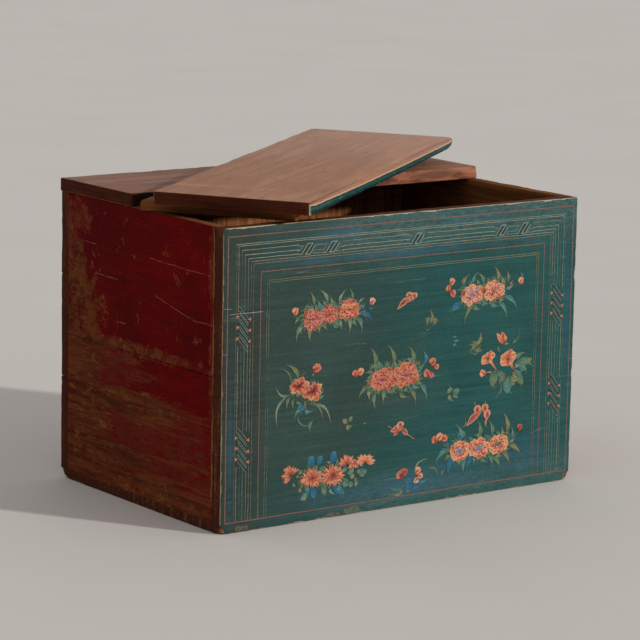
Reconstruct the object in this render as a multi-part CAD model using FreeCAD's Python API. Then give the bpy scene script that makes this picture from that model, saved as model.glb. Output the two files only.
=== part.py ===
"""Plank trunk with a fixed rear top board and a loose front lid lying askew on its rim.

Millimetres. X runs left to right along the front, Y from front to back, Z up.
The origin is on the floor, under the middle of the box.
"""
import FreeCAD, Part
import math
import os

# Box
chest_width = 900.0
chest_depth = 592.0
rim_height = 606.0
wall_thickness = 28.0
bottom_thickness = 20.0
front_bottom_height = 210.0
front_middle_height = 209.0
back_bottom_height = 196.0
back_middle_height = 218.0
side_lower_height = 290.0
bottom_rear_depth = 91.0
bottom_narrow_depth = 56.0
board_ease = 2.0

# Fixed rear half of the top
top_thickness = 27.0
rear_top_depth = 272.0
back_overhang = 10.0
top_corner_radius = 9.0

# Loose lid
lid_thickness = 26.0
front_overhang = 8.0
nose_drop = 8.0
nose_setback = 3.5
nose_undercut = 4.0
lid_corner_radius = 10.0

# Battens under the lid
batten_thickness = 22.0
batten_width = 45.0
batten_end_inset = 44.0
batten_front_inset = 53.0
tongue_length = 45.0
tongue_bevel = 7.0
batten_ease = 1.5

# How the loose lid lies on the box
lid_turn_degrees = 33.4
tongue_side_overhang = 9.0
tongue_rear_gap = 26.0
rest_gap = 0.3

# Bamboo pins in the plank joints
pin_diameter = 8.0
pin_length = 60.0
pin_clearance = 0.3
wall_pin_shares = (-0.36, -0.12, 0.12, 0.36)
side_pin_shares = (-0.3, 0.0, 0.3)

# Forged nails
nail_head = 8.0
nail_head_thickness = 2.0
nail_shank = 4.5
nail_tip = 1.6
nail_set = 1.2
nail_clearance = 0.3
corner_nail_length = 66.0
bottom_nail_length = 50.0
top_nail_length = 60.0
batten_nail_length = 40.0
board_nail_shares = (0.22, 0.78)
wall_nail_shares = (-0.38, -0.19, 0.0, 0.19, 0.38)
bottom_side_nail_shares = (0.25, 0.5, 0.75)
bottom_end_nail_share = 0.35
top_side_nail_shares = (0.25, 0.6)
batten_nail_shares = (0.12, 0.37, 0.62, 0.87)

cut_overrun = 5.0
parallel_limit = 1e-6

# Sizes and places that follow from those above
half_width = chest_width / 2
half_depth = chest_depth / 2
half_wall = wall_thickness / 2
inner_half_depth = half_depth - wall_thickness
side_middle = half_width - half_wall
wall_middle = half_depth - half_wall
bottom_rear_front = half_depth - bottom_rear_depth
bottom_narrow_front = bottom_rear_front - bottom_narrow_depth
rear_top_front = half_depth + back_overhang - rear_top_depth
lid_length = chest_width
lid_width = half_depth + front_overhang + rear_top_front
lid_rear = lid_width / 2
tongue_end = lid_rear + tongue_length
batten_front = batten_front_inset - lid_rear
second_batten_start = lid_length - 2 * batten_end_inset - batten_width

UP = FreeCAD.Vector(0, 0, 1)
DOWN = FreeCAD.Vector(0, 0, -1)
TO_BACK = FreeCAD.Vector(0, 1, 0)
TO_FRONT = FreeCAD.Vector(0, -1, 0)


def block(low, high):
    """A plain box between two corners."""
    size = FreeCAD.Vector(*high) - FreeCAD.Vector(*low)
    return Part.makeBox(size.x, size.y, size.z, FreeCAD.Vector(*low))


def eased(solid, radius):
    """The solid with every edge rounded over."""
    return solid.makeFillet(radius, solid.Edges)


def upright_edges(solid):
    """The straight edges that run up and down."""
    def off_upright(edge):
        return edge.tangentAt(edge.FirstParameter).cross(UP).Length

    return [edge for edge in solid.Edges if off_upright(edge) < parallel_limit]


def rounded_plan(low, high, radius):
    """A box whose four upright edges are rounded."""
    solid = block(low, high)
    return solid.makeFillet(radius, upright_edges(solid))


def aimed(solid, start, direction):
    """The solid, made along +Z from zero, turned to a direction and moved to its start."""
    placed = solid.copy()
    placed.Placement = FreeCAD.Placement(start, FreeCAD.Rotation(UP, direction))
    return placed


def square_taper(wide, narrow, length):
    """A square shank that tapers along +Z."""
    shank = Part.makeWedge(
        -wide / 2, 0, -wide / 2, -narrow / 2, -narrow / 2,
        wide / 2, length, wide / 2, narrow / 2, narrow / 2,
    )
    shank.rotate(FreeCAD.Vector(0, 0, 0), FreeCAD.Vector(1, 0, 0), 90)
    return shank


def nail(length):
    """A forged nail along +Z, with the outside of its head at zero."""
    half = nail_head / 2
    head = block((-half, -half, 0), (half, half, nail_head_thickness))
    return head.fuse(square_taper(nail_shank, nail_tip, length)).removeSplitter()


def nail_hole(length):
    """The space that a sunk nail of this length takes, open at the face it was driven into."""
    half = (nail_head + nail_clearance) / 2
    mouth = block((-half, -half, -nail_set - cut_overrun), (half, half, nail_head_thickness))
    shank = square_taper(nail_shank + nail_clearance, nail_tip + nail_clearance, length)
    return mouth.fuse(shank)


def driven(points, direction, length, make):
    """One nail, or one nail hole, for each point on the face that the nails are driven into."""
    one = make(length)
    return [aimed(one, point + direction * nail_set, direction) for point in points]


def pin(diameter, centre):
    """An upright pin, half in the plank below its centre and half in the plank above."""
    base = centre - UP * (pin_length / 2)
    return Part.makeCylinder(diameter / 2, pin_length, base)


def pins(centres):
    """One pin for each centre."""
    return [pin(pin_diameter, centre) for centre in centres]


def pin_holes(centres):
    """One pin hole for each centre."""
    return [pin(pin_diameter + pin_clearance, centre) for centre in centres]


def stack(heights):
    """The (bottom, top) of each plank of a wall, from the lowest up to the rim."""
    levels = [bottom_thickness]
    for height in heights:
        levels.append(levels[-1] + height)
    levels.append(rim_height)
    return list(zip(levels, levels[1:]))


def wall_boards(names, levels, x_range, y_range):
    """The planks of one wall, by name, from the lowest up."""
    boards = {}
    for name, (low, high) in zip(names, levels):
        corner = (x_range[0], y_range[0], low)
        boards[name] = eased(block(corner, (x_range[1], y_range[1], high)), board_ease)
    return boards


def bored(boards, holes):
    """The planks with the holes cut out of them."""
    return {name: board.cut(Part.makeCompound(holes)) for name, board in boards.items()}


def front_or_back_pin_centres(levels, y):
    """Pins along each joint of the front or back wall."""
    return [
        FreeCAD.Vector(share * chest_width, y, top)
        for _, top in levels[:-1]
        for share in wall_pin_shares
    ]


def side_pin_centres(x, levels):
    """Pins along the joint of a side wall."""
    return [
        FreeCAD.Vector(x, share * chest_depth, top)
        for _, top in levels[:-1]
        for share in side_pin_shares
    ]


def corner_nail_points(levels, y):
    """Nails through both ends of each front or back plank, in line with the side walls."""
    return [
        FreeCAD.Vector(side * side_middle, y, low + share * (top - low))
        for side in (-1, 1)
        for low, top in levels
        for share in board_nail_shares
    ]


def bottom_nail_points():
    """Nails up through the bottom planks into the four walls."""
    points = [
        FreeCAD.Vector(share * chest_width, y, 0)
        for y in (-wall_middle, wall_middle)
        for share in wall_nail_shares
    ]
    front_reach = bottom_narrow_front + half_depth
    side_y = [bottom_narrow_front - share * front_reach for share in bottom_side_nail_shares]
    side_y.append(bottom_narrow_front + bottom_narrow_depth / 2)
    side_y.append(bottom_rear_front + bottom_end_nail_share * bottom_rear_depth)
    points += [FreeCAD.Vector(side * side_middle, y, 0) for side in (-1, 1) for y in side_y]
    return points


def rear_top_nail_points():
    """Nails down through the fixed rear top board into the back and side walls."""
    z = rim_height + top_thickness
    points = [FreeCAD.Vector(share * chest_width, wall_middle, z) for share in wall_nail_shares]
    points += [
        FreeCAD.Vector(side * side_middle, rear_top_front + share * rear_top_depth, z)
        for side in (-1, 1)
        for share in top_side_nail_shares
    ]
    return points


def bottom_boards():
    """The three bottom planks, which lie under all four walls."""
    spans = {
        "bottom_board_front": (-half_depth, bottom_narrow_front),
        "bottom_board_narrow": (bottom_narrow_front, bottom_rear_front),
        "bottom_board_rear": (bottom_rear_front, half_depth),
    }
    return {
        name: eased(block((-half_width, front, 0), (half_width, back, bottom_thickness)), board_ease)
        for name, (front, back) in spans.items()
    }


def rear_top_board():
    """The fixed rear half of the top."""
    low = (-half_width, rear_top_front, rim_height)
    high = (half_width, half_depth + back_overhang, rim_height + top_thickness)
    return eased(rounded_plan(low, high, top_corner_radius), board_ease)


def lid_board():
    """The loose plank: X starts at the first batten's outer face, Z at the battens' underside."""
    start = -batten_end_inset
    low = batten_thickness
    high = batten_thickness + lid_thickness
    outline = [
        (lid_rear, low),
        (lid_rear, high),
        (nose_setback - lid_rear, high),
        (-lid_rear, high - nose_drop),
        (nose_undercut - lid_rear, low),
    ]
    points = [FreeCAD.Vector(start, y, z) for y, z in outline]
    section = Part.Face(Part.makePolygon(points + points[:1]))
    plank = section.extrude(FreeCAD.Vector(lid_length, 0, 0))
    plan = rounded_plan(
        (start, -lid_rear, low - cut_overrun),
        (start + lid_length, lid_rear, high + cut_overrun),
        lid_corner_radius,
    )
    return plank.common(plan)


def lid_batten(start):
    """A batten across the lid from X at start, with the top of its tongue bevelled."""
    outline = [
        (batten_front, 0),
        (tongue_end, 0),
        (tongue_end, batten_thickness - tongue_bevel),
        (tongue_end - tongue_bevel, batten_thickness),
        (batten_front, batten_thickness),
    ]
    points = [FreeCAD.Vector(start, y, z) for y, z in outline]
    section = Part.Face(Part.makePolygon(points + points[:1]))
    return eased(section.extrude(FreeCAD.Vector(batten_width, 0, 0)), batten_ease)


def batten_nail_points(start):
    """Nails up through one batten into the lid."""
    length = lid_rear - batten_front
    return [
        FreeCAD.Vector(start + batten_width / 2, batten_front + share * length, 0)
        for share in batten_nail_shares
    ]


def lid_rest_placement():
    """Where the lid lies: one batten on the left and front rims, the other on the rear top board.

    The lid is turned about Z, and tilted just enough for the higher of two rests: the second batten on
    the rear board, or the lid's underside on that board's front edge.
    """
    turn = math.radians(lid_turn_degrees)
    x = -half_width - tongue_side_overhang + tongue_end * math.sin(turn)
    y = rear_top_front - tongue_rear_gap - tongue_end * math.cos(turn) - batten_width * math.sin(turn)
    edge_reach = (rear_top_front - y - lid_rear * math.cos(turn)) / math.sin(turn)
    batten_slope = top_thickness / second_batten_start
    edge_slope = (top_thickness - batten_thickness) / edge_reach
    tilt = math.degrees(math.asin(max(batten_slope, edge_slope)))
    return FreeCAD.Placement(
        FreeCAD.Vector(x, y, rim_height + rest_gap),
        FreeCAD.Rotation(lid_turn_degrees, -tilt, 0),
    )


def lid_parts():
    """The lid's plank, battens and nails, lying on the box."""
    starts = {"lid_batten_left": 0, "lid_batten_right": second_batten_start}
    points = [point for start in starts.values() for point in batten_nail_points(start)]
    boards = {name: lid_batten(start) for name, start in starts.items()}
    boards["lid_board"] = lid_board()
    parts = bored(boards, driven(points, UP, batten_nail_length, nail_hole))
    parts["batten_nails"] = Part.makeCompound(driven(points, UP, batten_nail_length, nail))
    rest = lid_rest_placement()
    for shape in parts.values():
        shape.Placement = rest.multiply(shape.Placement)
    return parts


def box_parts():
    """The walls, the bottom, the fixed rear top board, and the pins and nails that hold them."""
    front_levels = stack((front_bottom_height, front_middle_height))
    back_levels = stack((back_bottom_height, back_middle_height))
    side_levels = stack((side_lower_height,))
    full = (-half_width, half_width)
    between = (-inner_half_depth, inner_half_depth)

    front = wall_boards(
        ("front_board_bottom", "front_board_middle", "front_board_top"),
        front_levels, full, (-half_depth, -inner_half_depth),
    )
    back = wall_boards(
        ("back_board_bottom", "back_board_middle", "back_board_top"),
        back_levels, full, (inner_half_depth, half_depth),
    )
    left = wall_boards(
        ("left_board_lower", "left_board_upper"),
        side_levels, (-half_width, -half_width + wall_thickness), between,
    )
    right = wall_boards(
        ("right_board_lower", "right_board_upper"),
        side_levels, (half_width - wall_thickness, half_width), between,
    )

    pin_centres = {
        "front_edge_pins": front_or_back_pin_centres(front_levels, -wall_middle),
        "back_edge_pins": front_or_back_pin_centres(back_levels, wall_middle),
        "left_edge_pins": side_pin_centres(-side_middle, side_levels),
        "right_edge_pins": side_pin_centres(side_middle, side_levels),
    }
    nails = {
        "front_corner_nails": (corner_nail_points(front_levels, -half_depth), TO_BACK, corner_nail_length),
        "back_corner_nails": (corner_nail_points(back_levels, half_depth), TO_FRONT, corner_nail_length),
        "bottom_nails": (bottom_nail_points(), UP, bottom_nail_length),
        "rear_top_nails": (rear_top_nail_points(), DOWN, top_nail_length),
    }

    holes = []
    for centres in pin_centres.values():
        holes += pin_holes(centres)
    for points, direction, length in nails.values():
        holes += driven(points, direction, length, nail_hole)

    boards = {**front, **back, **left, **right, **bottom_boards(), "rear_top_board": rear_top_board()}
    parts = bored(boards, holes)
    for name, centres in pin_centres.items():
        parts[name] = Part.makeCompound(pins(centres))
    for name, (points, direction, length) in nails.items():
        parts[name] = Part.makeCompound(driven(points, direction, length, nail))
    return parts


def main():
    os.makedirs("parts", exist_ok=True)
    for name, shape in {**box_parts(), **lid_parts()}.items():
        shape.exportStep("parts/" + name + ".step")


main()
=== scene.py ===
import math

import bmesh
import bpy
import numpy as np
from mathutils import Euler, Matrix, Vector, noise


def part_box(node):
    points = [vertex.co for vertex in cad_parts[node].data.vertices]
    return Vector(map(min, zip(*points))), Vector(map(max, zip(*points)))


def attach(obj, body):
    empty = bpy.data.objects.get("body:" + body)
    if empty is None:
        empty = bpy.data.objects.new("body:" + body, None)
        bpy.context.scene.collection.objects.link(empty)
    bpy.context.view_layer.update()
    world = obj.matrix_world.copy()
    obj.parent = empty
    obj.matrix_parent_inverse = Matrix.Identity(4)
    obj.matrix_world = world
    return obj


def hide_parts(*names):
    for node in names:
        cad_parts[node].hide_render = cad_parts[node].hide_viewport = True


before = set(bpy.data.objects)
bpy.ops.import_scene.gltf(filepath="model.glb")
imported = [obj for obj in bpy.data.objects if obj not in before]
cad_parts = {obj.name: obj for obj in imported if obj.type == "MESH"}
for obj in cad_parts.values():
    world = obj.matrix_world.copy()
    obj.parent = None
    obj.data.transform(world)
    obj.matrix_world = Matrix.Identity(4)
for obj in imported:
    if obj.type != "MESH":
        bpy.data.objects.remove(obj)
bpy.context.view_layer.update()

bl_info = {
    "name": "Painted plank trunk",
    "version": (1, 0, 0),
    "blender": (4, 5, 0),
    "location": "3D View > Sidebar > Trunk",
    "description": "Models and paints a plank trunk with flower sprays, a fixed rear top and a loose lid",
    "category": "Add Mesh",
}

MM = 0.001
FRONT_FACE, BACK_FACE = -0.296, 0.296
LEFT_FACE, RIGHT_FACE = -0.450, 0.450
RIM = 0.606
BOTTOM_TOP = 0.020
BACK_INSIDE = 0.268
REAR_TOP_FRONT = 0.034
REAR_TOP_THICK = 0.027

# The lid and its battens, from the left batten's outer lower arris at the middle of the lid's width
LID_LEFT, LID_RIGHT = -0.044, 0.856
LID_FRONT, LID_REAR = -0.169, 0.169
LID_LOW, LID_HIGH = 0.022, 0.048
LID_NOSE = 0.040
NOSE_RISE = 0.003
BATTEN_WIDE = 0.045
BATTEN_SPACING = 0.767
BATTEN_FRONT, TONGUE_END = -0.116, 0.214

# How the loose lid lies on the rim and on the rear board
LID_TURN = math.radians(33.4)
LID_TILT = math.asin(REAR_TOP_THICK / BATTEN_SPACING)
TONGUE_OVERHANG = 0.009
TONGUE_REAR_GAP = 0.026
REST_GAP = 0.0003
LID_PLACE = (
    LEFT_FACE - TONGUE_OVERHANG + TONGUE_END * math.sin(LID_TURN),
    REAR_TOP_FRONT - TONGUE_REAR_GAP - TONGUE_END * math.cos(LID_TURN) - BATTEN_WIDE * math.sin(LID_TURN),
    RIM + REST_GAP,
)


def ink(red, green, blue):
    """A colour as a painter would read it off a chart, 0 to 255, as Blender's linear colour."""
    def linear(value):
        share = value / 255
        return share / 12.92 if share <= 0.04045 else ((share + 0.055) / 1.055) ** 2.4

    return (linear(red), linear(green), linear(blue), 1.0)


# Values that a user would change


def colour_value(name, description, default):
    return bpy.props.FloatVectorProperty(
        name=name, description=description, default=default, size=4, min=0.0, max=1.0, subtype="COLOR",
    )


def length_value(name, description, default):
    return bpy.props.FloatProperty(
        name=name, description=description, default=default, min=0.0, precision=4, unit="LENGTH",
    )


class TrunkSizes(bpy.types.PropertyGroup):
    """Sizes of the trunk's small shapes."""
    edge_round: length_value("Edge rounding", "Rounding of the planks' worn outer edges", 0.0026)
    joint_round: length_value("Joint rounding", "Rounding of plank edges inside a tight joint", 0.0003)
    chip_depth: length_value("Chip depth", "Depth of the deepest chip in an edge", 0.0022)
    paint_height: length_value("Paint height", "How far the ornament stands off the ground colour", 0.00025)
    hand_waver: length_value("Hand waver", "How far a painted stroke strays from its line", 0.0006)


class TrunkColours(bpy.types.PropertyGroup):
    """Colours of the trunk's paint and wood."""
    teal: colour_value("Teal", "Ground colour of the front", ink(36, 79, 77))
    blue: colour_value("Blue", "Bluer patches of the ground colour", ink(44, 86, 104))
    moss: colour_value("Moss", "Worn greyer patches of the ground colour", ink(51, 67, 62))
    undercoat: colour_value("Undercoat", "Cream layer that shows at worn edges", ink(178, 156, 122))
    red: colour_value("Red", "Paint of the side walls", ink(109, 2, 4))
    red_dark: colour_value("Dark red", "Shaded and grimed red paint", ink(88, 2, 5))
    side_wood: colour_value("Side wood", "Wood that shows through the red", ink(120, 62, 34))
    side_wood_dark: colour_value("Dark side wood", "Grimed wood that shows through the red", ink(70, 34, 22))
    top_wood: colour_value("Top wood", "Light grain of the top planks", ink(200, 151, 122))
    top_wood_dark: colour_value("Dark top wood", "Dark grain of the top planks", ink(168, 119, 95))
    bare_wood: colour_value("Bare wood", "Light grain of unpainted wood", ink(150, 96, 58))
    bare_wood_dark: colour_value("Dark bare wood", "Dark grain of unpainted wood", ink(86, 49, 28))
    end_grain: colour_value("End grain", "Grimed plank ends", ink(57, 27, 18))


def sizes():
    return bpy.context.scene.trunk_sizes


def colours():
    return bpy.context.scene.trunk_colours


# Node webs for the finishes


class Web:
    """A node tree, with short ways to add the nodes that the finishes use."""

    def __init__(self, tree):
        self.tree = tree

    def node(self, kind, feeds=None, **settings):
        made = self.tree.nodes.new(kind)
        for name, value in settings.items():
            setattr(made, name, value)
        for socket, value in (feeds or {}).items():
            self.feed(made.inputs[socket], value)
        return made

    def feed(self, socket, value):
        if isinstance(value, bpy.types.NodeSocket):
            self.tree.links.new(value, socket)
        elif value is not None:
            socket.default_value = value

    def math(self, operation, a, b=None, c=None, clamp=False):
        made = self.node("ShaderNodeMath", {0: a, 1: b, 2: c}, operation=operation, use_clamp=clamp)
        return made.outputs[0]

    def times(self, a, b):
        return self.math("MULTIPLY", a, b)

    def plus(self, a, b):
        return self.math("ADD", a, b)

    def minus(self, a, b):
        return self.math("SUBTRACT", a, b)

    def vector(self, operation, a, b=None):
        made = self.node("ShaderNodeVectorMath", {0: a, 1: b}, operation=operation)
        return made.outputs["Value" if operation in ("LENGTH", "DOT_PRODUCT") else "Vector"]

    def split(self, vector):
        return tuple(self.node("ShaderNodeSeparateXYZ", {0: vector}).outputs)

    def pack(self, x, y, z):
        return self.node("ShaderNodeCombineXYZ", {0: x, 1: y, 2: z}).outputs[0]

    def even(self, value):
        """The same value on all three axes."""
        return self.pack(value, value, value)

    def noise(self, vector, scale, detail=2.0, rough=0.5, swirl=0.0):
        """Noise of one scale, or with a scale of its own along each axis."""
        if isinstance(scale, tuple):
            vector, scale = self.vector("MULTIPLY", vector, scale), 1.0
        feeds = {"Vector": vector, "Scale": scale, "Detail": detail, "Roughness": rough, "Distortion": swirl}
        return self.node("ShaderNodeTexNoise", feeds).outputs[0]

    def span(self, value, start, end, low=0.0, high=1.0):
        feeds = {0: value, 1: start, 2: end, 3: low, 4: high}
        return self.node("ShaderNodeMapRange", feeds, interpolation_type="SMOOTHSTEP").outputs[0]

    def mix(self, share, a, b, blend="MIX"):
        made = self.node("ShaderNodeMix", {0: share, 6: a, 7: b}, data_type="RGBA", blend_type=blend)
        return made.outputs[2]

    def layers(self, colour, *rows):
        """Lays colours over one another. Each row is a field, its start and end, a share and the colour."""
        for field, start, end, share, over in rows:
            colour = self.mix(self.span(field, start, end, 0.0, share), colour, over)
        return colour

    def group(self, tree, **feeds):
        made = self.tree.nodes.new("ShaderNodeGroup")
        made.node_tree = tree
        for name, value in feeds.items():
            self.feed(made.inputs[name.replace("_", " ").capitalize()], value)
        return made.outputs

    def place(self):
        return self.node("ShaderNodeTexCoord").outputs["Object"]

    def attribute(self, name, output):
        return self.node("ShaderNodeAttribute", attribute_name=name).outputs[output]

    def turned(self, vector, location=(0, 0, 0), rotation=(0, 0, 0)):
        feeds = {"Vector": vector, "Location": location, "Rotation": rotation}
        return self.node("ShaderNodeMapping", feeds, vector_type="TEXTURE").outputs[0]

    def surface(self, colour, roughness, height, distance, strength=0.6, sheen=0.12):
        bump = self.node("ShaderNodeBump", {"Height": height, "Distance": distance, "Strength": strength})
        feeds = {
            "Base Color": colour, "Roughness": roughness,
            "Normal": bump.outputs[0], "Specular IOR Level": sheen,
        }
        shader = self.node("ShaderNodeBsdfPrincipled", feeds)
        end = self.node("ShaderNodeOutputMaterial")
        self.tree.links.new(shader.outputs[0], end.inputs[0])
        return shader


def shared(name, takes, gives, fill):
    """A node group, built the first time that a finish asks for it; each socket is named with its kind."""
    if name in bpy.data.node_groups:
        return bpy.data.node_groups[name]
    tree = bpy.data.node_groups.new(name, "ShaderNodeTree")
    for way, sockets in (("INPUT", takes), ("OUTPUT", gives)):
        for label, kind in sockets.items():
            tree.interface.new_socket(name=label, in_out=way, socket_type="NodeSocket" + kind)
    found = fill(Web(tree), tree.nodes.new("NodeGroupInput").outputs)
    end = tree.nodes.new("NodeGroupOutput")
    for label, socket in found.items():
        tree.links.new(socket, end.inputs[label])
    return tree


def plank_grain():
    """Grain that runs along X: growth lines, fibres and pores."""
    def fill(web, given):
        along = given["Vector"]
        broad = web.noise(along, (0.9, 13.0, 13.0), detail=3.0, swirl=0.5)
        rings = web.math("PINGPONG", web.times(broad, given["Rings"]), 0.5)
        fibre = web.noise(along, (5.0, 210.0, 210.0), detail=4.0, rough=0.6)
        pores = web.noise(along, (22.0, 640.0, 640.0), detail=2.0)
        lines = web.math("MULTIPLY_ADD", rings, 0.7, web.times(fibre, 0.45))
        share = web.math("MULTIPLY_ADD", pores, 0.3, lines)
        colour = web.mix(web.span(share, 0.25, 0.8), given["Dark"], given["Light"])
        height = web.math("MULTIPLY_ADD", pores, 0.5, fibre)
        return {"Colour": colour, "Height": height, "Share": share}

    takes = {"Vector": "Vector", "Rings": "Float", "Dark": "Color", "Light": "Color"}
    gives = {"Colour": "Color", "Height": "Float", "Share": "Float"}
    return shared("Plank grain", takes, gives, fill)


def edge_wear():
    """Worn masks along the edges of a box, from how far each point lies from the nearest edge."""
    def fill(web, given):
        off = web.vector("ABSOLUTE", web.vector("SUBTRACT", given["Vector"], given["Centre"]))
        x, y, z = web.split(web.vector("SUBTRACT", given["Half"], off))
        low = web.math("MINIMUM", x, y)
        high = web.math("MAXIMUM", x, y)
        distance = web.math("MAXIMUM", low, web.math("MINIMUM", high, z))
        fine = web.noise(given["Vector"], 95.0, detail=4.0, rough=0.6)
        coarse = web.noise(given["Vector"], 21.0, detail=3.0, rough=0.6)
        ragged = web.math("MULTIPLY_ADD", web.span(coarse, 0.5, 0.78), 1.6, web.times(fine, 0.9))
        reach = web.times(given["Reach"], web.plus(ragged, 0.25))
        worn = web.minus(1.0, web.span(distance, web.times(reach, 0.7), reach))
        bare = web.minus(1.0, web.span(distance, 0.0, web.times(reach, 0.4)))
        return {"Worn": worn, "Bare": bare}

    takes = {"Vector": "Vector", "Centre": "Vector", "Half": "Vector", "Reach": "Float"}
    return shared("Edge wear", takes, {"Worn": "Float", "Bare": "Float"}, fill)


def worn_patch():
    """A soft oval patch: one in its middle, nought at its rim and less outside it."""
    def fill(web, given):
        off = web.vector("DIVIDE", web.vector("SUBTRACT", given["Vector"], given["Centre"]), given["Size"])
        return {"Value": web.minus(1.0, web.vector("LENGTH", off))}

    takes = {"Vector": "Vector", "Centre": "Vector", "Size": "Vector"}
    return shared("Worn patch", takes, {"Value": "Float"}, fill)


def nearest_patch(web, place, patches):
    """How deep a point lies in the nearest of some patches."""
    deepest = None
    for centre, size in patches:
        depth = web.group(worn_patch(), vector=place, centre=centre, size=size)["Value"]
        deepest = depth if deepest is None else web.math("MAXIMUM", deepest, depth)
    return deepest


def worst_patch(web, place, patches, fields):
    """How worn a point is by the nearest of some patches, with ragged edges from noise fields."""
    worn = nearest_patch(web, place, patches)
    worn = web.math("MINIMUM", web.math("MAXIMUM", worn, -0.45), 0.30)
    for share, field in fields:
        worn = web.math("MULTIPLY_ADD", web.minus(field, 0.5), share, worn)
    return worn


def on_front(*rows):
    """Patches of the front face, from rows of middle and reach, each across and up."""
    return [((x, FRONT_FACE, z), (wide, 1.0, high)) for x, z, wide, high in rows]


def on_side(face, *rows):
    """Patches of a side wall, from rows of middle and reach, each back and up."""
    return [((face, y, z), (1.0, deep, high)) for y, z, deep, high in rows]


def lines_on_side(face, *rows):
    """Lines on a side wall, from rows of both ends, each back and up."""
    return [((face, y0, z0), (face, y1, z1)) for y0, z0, y1, z1 in rows]


def scratches():
    """Thin broken lines that run roughly along X and cross the surface here and there."""
    def fill(web, given):
        long = web.noise(given["Vector"], (3.2, 150.0, 150.0), detail=2.0, swirl=0.25)
        line = web.span(web.math("ABSOLUTE", web.minus(long, 0.5)), 0.0, given["Width"], 1.0, 0.0)
        where = web.noise(given["Vector"], (5.0, 23.0, 23.0), detail=2.0)
        here = web.span(where, given["Spare"], web.plus(given["Spare"], 0.06))
        return {"Mask": web.times(line, here)}

    takes = {"Vector": "Vector", "Width": "Float", "Spare": "Float"}
    return shared("Scratches", takes, {"Mask": "Float"}, fill)


# Greyer and bluer patches of the front's ground colour
GREY_PATCHES = on_front((-0.28, 0.31, 0.42, 0.50))
BLUE_PATCHES = on_front(
    (-0.16, 0.575, 0.13, 0.025), (0.15, 0.585, 0.12, 0.022), (0.02, 0.525, 0.42, 0.015),
    (-0.428, 0.18, 0.012, 0.24), (0.428, 0.36, 0.012, 0.25), (0.02, 0.045, 0.42, 0.05),
    (0.30, 0.07, 0.12, 0.07),
)


def teal_ground():
    """The front's ground colour: streaked teal with bluer and worn greyer patches."""
    def fill(web, given):
        place = given["Vector"]
        x, _, z = web.split(place)
        streak = web.noise(place, (2.6, 1.0, 120.0), detail=4.0, rough=0.65)
        fine = web.noise(place, (14.0, 1.0, 520.0), detail=3.0, rough=0.6)
        cloud = web.noise(place, 6.5, detail=4.0, rough=0.6, swirl=0.4)
        mottle = web.noise(place, (190.0, 1.0, 300.0), detail=3.0, rough=0.65)
        dust = web.noise(place, (70.0, 1.0, 190.0), detail=6.0, rough=0.8)
        speck = web.noise(place, 240.0, detail=1.0)
        drift = web.math("MULTIPLY_ADD", cloud, 0.08, x)
        level = web.math("MULTIPLY_ADD", cloud, 0.06, z)
        ragged = web.math("MULTIPLY_ADD", streak, 0.9, web.times(cloud, 0.9))
        grey = web.plus(nearest_patch(web, place, GREY_PATCHES), ragged)
        blue = web.plus(nearest_patch(web, place, BLUE_PATCHES), ragged)
        colour = web.layers(
            given["Teal"], (grey, 0.95, 1.55, 0.85, given["Moss"]),
            (drift, -0.29, -0.35, 0.65, ink(50, 55, 49)), (blue, 1.0, 1.7, 0.5, given["Blue"]),
        )
        tone = web.math("MULTIPLY_ADD", web.span(streak, 0.3, 0.7), 0.22, web.times(fine, 0.46))
        tone = web.plus(tone, web.span(cloud, 0.3, 0.7, 0.19, 0.37))
        tone = web.math("MULTIPLY_ADD", mottle, 0.62, tone)
        colour = web.mix(1.0, colour, web.even(tone), "MULTIPLY")
        lines = web.group(scratches(), vector=place, width=0.011, spare=0.60)["Mask"]
        colour = web.mix(web.times(lines, 0.4), colour, ink(140, 150, 138))
        high, low = web.span(level, 0.52, 0.60, 0.0, 0.20), web.span(level, 0.14, 0.05, 0.0, 0.12)
        faded = web.times(web.math("MAXIMUM", high, low), web.span(drift, -0.24, -0.02))
        faded = web.times(faded, web.span(dust, 0.3, 0.72))
        colour = web.mix(faded, colour, ink(150, 160, 158))
        colour = web.layers(colour, (speck, 0.74, 0.8, 0.5, ink(20, 36, 36)))
        rough = web.span(streak, 0.2, 0.8, 0.42, 0.62)
        return {"Colour": colour, "Roughness": rough, "Height": web.plus(fine, streak)}

    takes = {"Vector": "Vector", "Teal": "Color", "Blue": "Color", "Moss": "Color"}
    gives = {"Colour": "Color", "Roughness": "Float", "Height": "Float"}
    return shared("Teal ground", takes, gives, fill)


def new_finish(name):
    """An empty material and its web."""
    material = bpy.data.materials.new(name)
    material.use_nodes = True
    material.node_tree.nodes.clear()
    return material, Web(material.node_tree)


def shifted_place(web):
    """Object coordinates, moved along by each board's own shift, so that no two boards share their grain."""
    shift = web.attribute("board_shift", "Fac")
    return web.vector("ADD", web.place(), web.even(shift))


def ground_colour(web, place):
    tone = colours()
    return web.group(teal_ground(), vector=place, teal=tone.teal, blue=tone.blue, moss=tone.moss)


def grime(web, place, colour, strength):
    """Darker smudges over a colour."""
    smudge = web.noise(place, 9.0, detail=5.0, rough=0.65)
    return web.layers(colour, (smudge, 0.5, 0.8, strength, ink(34, 22, 16)))


def bare_colour(web, vector, place):
    tone = colours()
    grain = web.group(plank_grain(), vector=vector, rings=9.0, dark=tone.bare_wood_dark, light=tone.bare_wood)
    calm = web.mix(0.4, grain["Colour"], web.mix(0.45, tone.bare_wood_dark, tone.bare_wood))
    return grime(web, place, calm, 0.5), grain["Height"]


# Places along the foot of the front where the paint is rubbed to a dull ochre
FRONT_RUBBED = on_front(
    (-0.128, 0.008, 0.022, 0.010), (-0.175, 0.006, 0.02, 0.005), (-0.40, 0.008, 0.02, 0.006),
)


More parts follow.
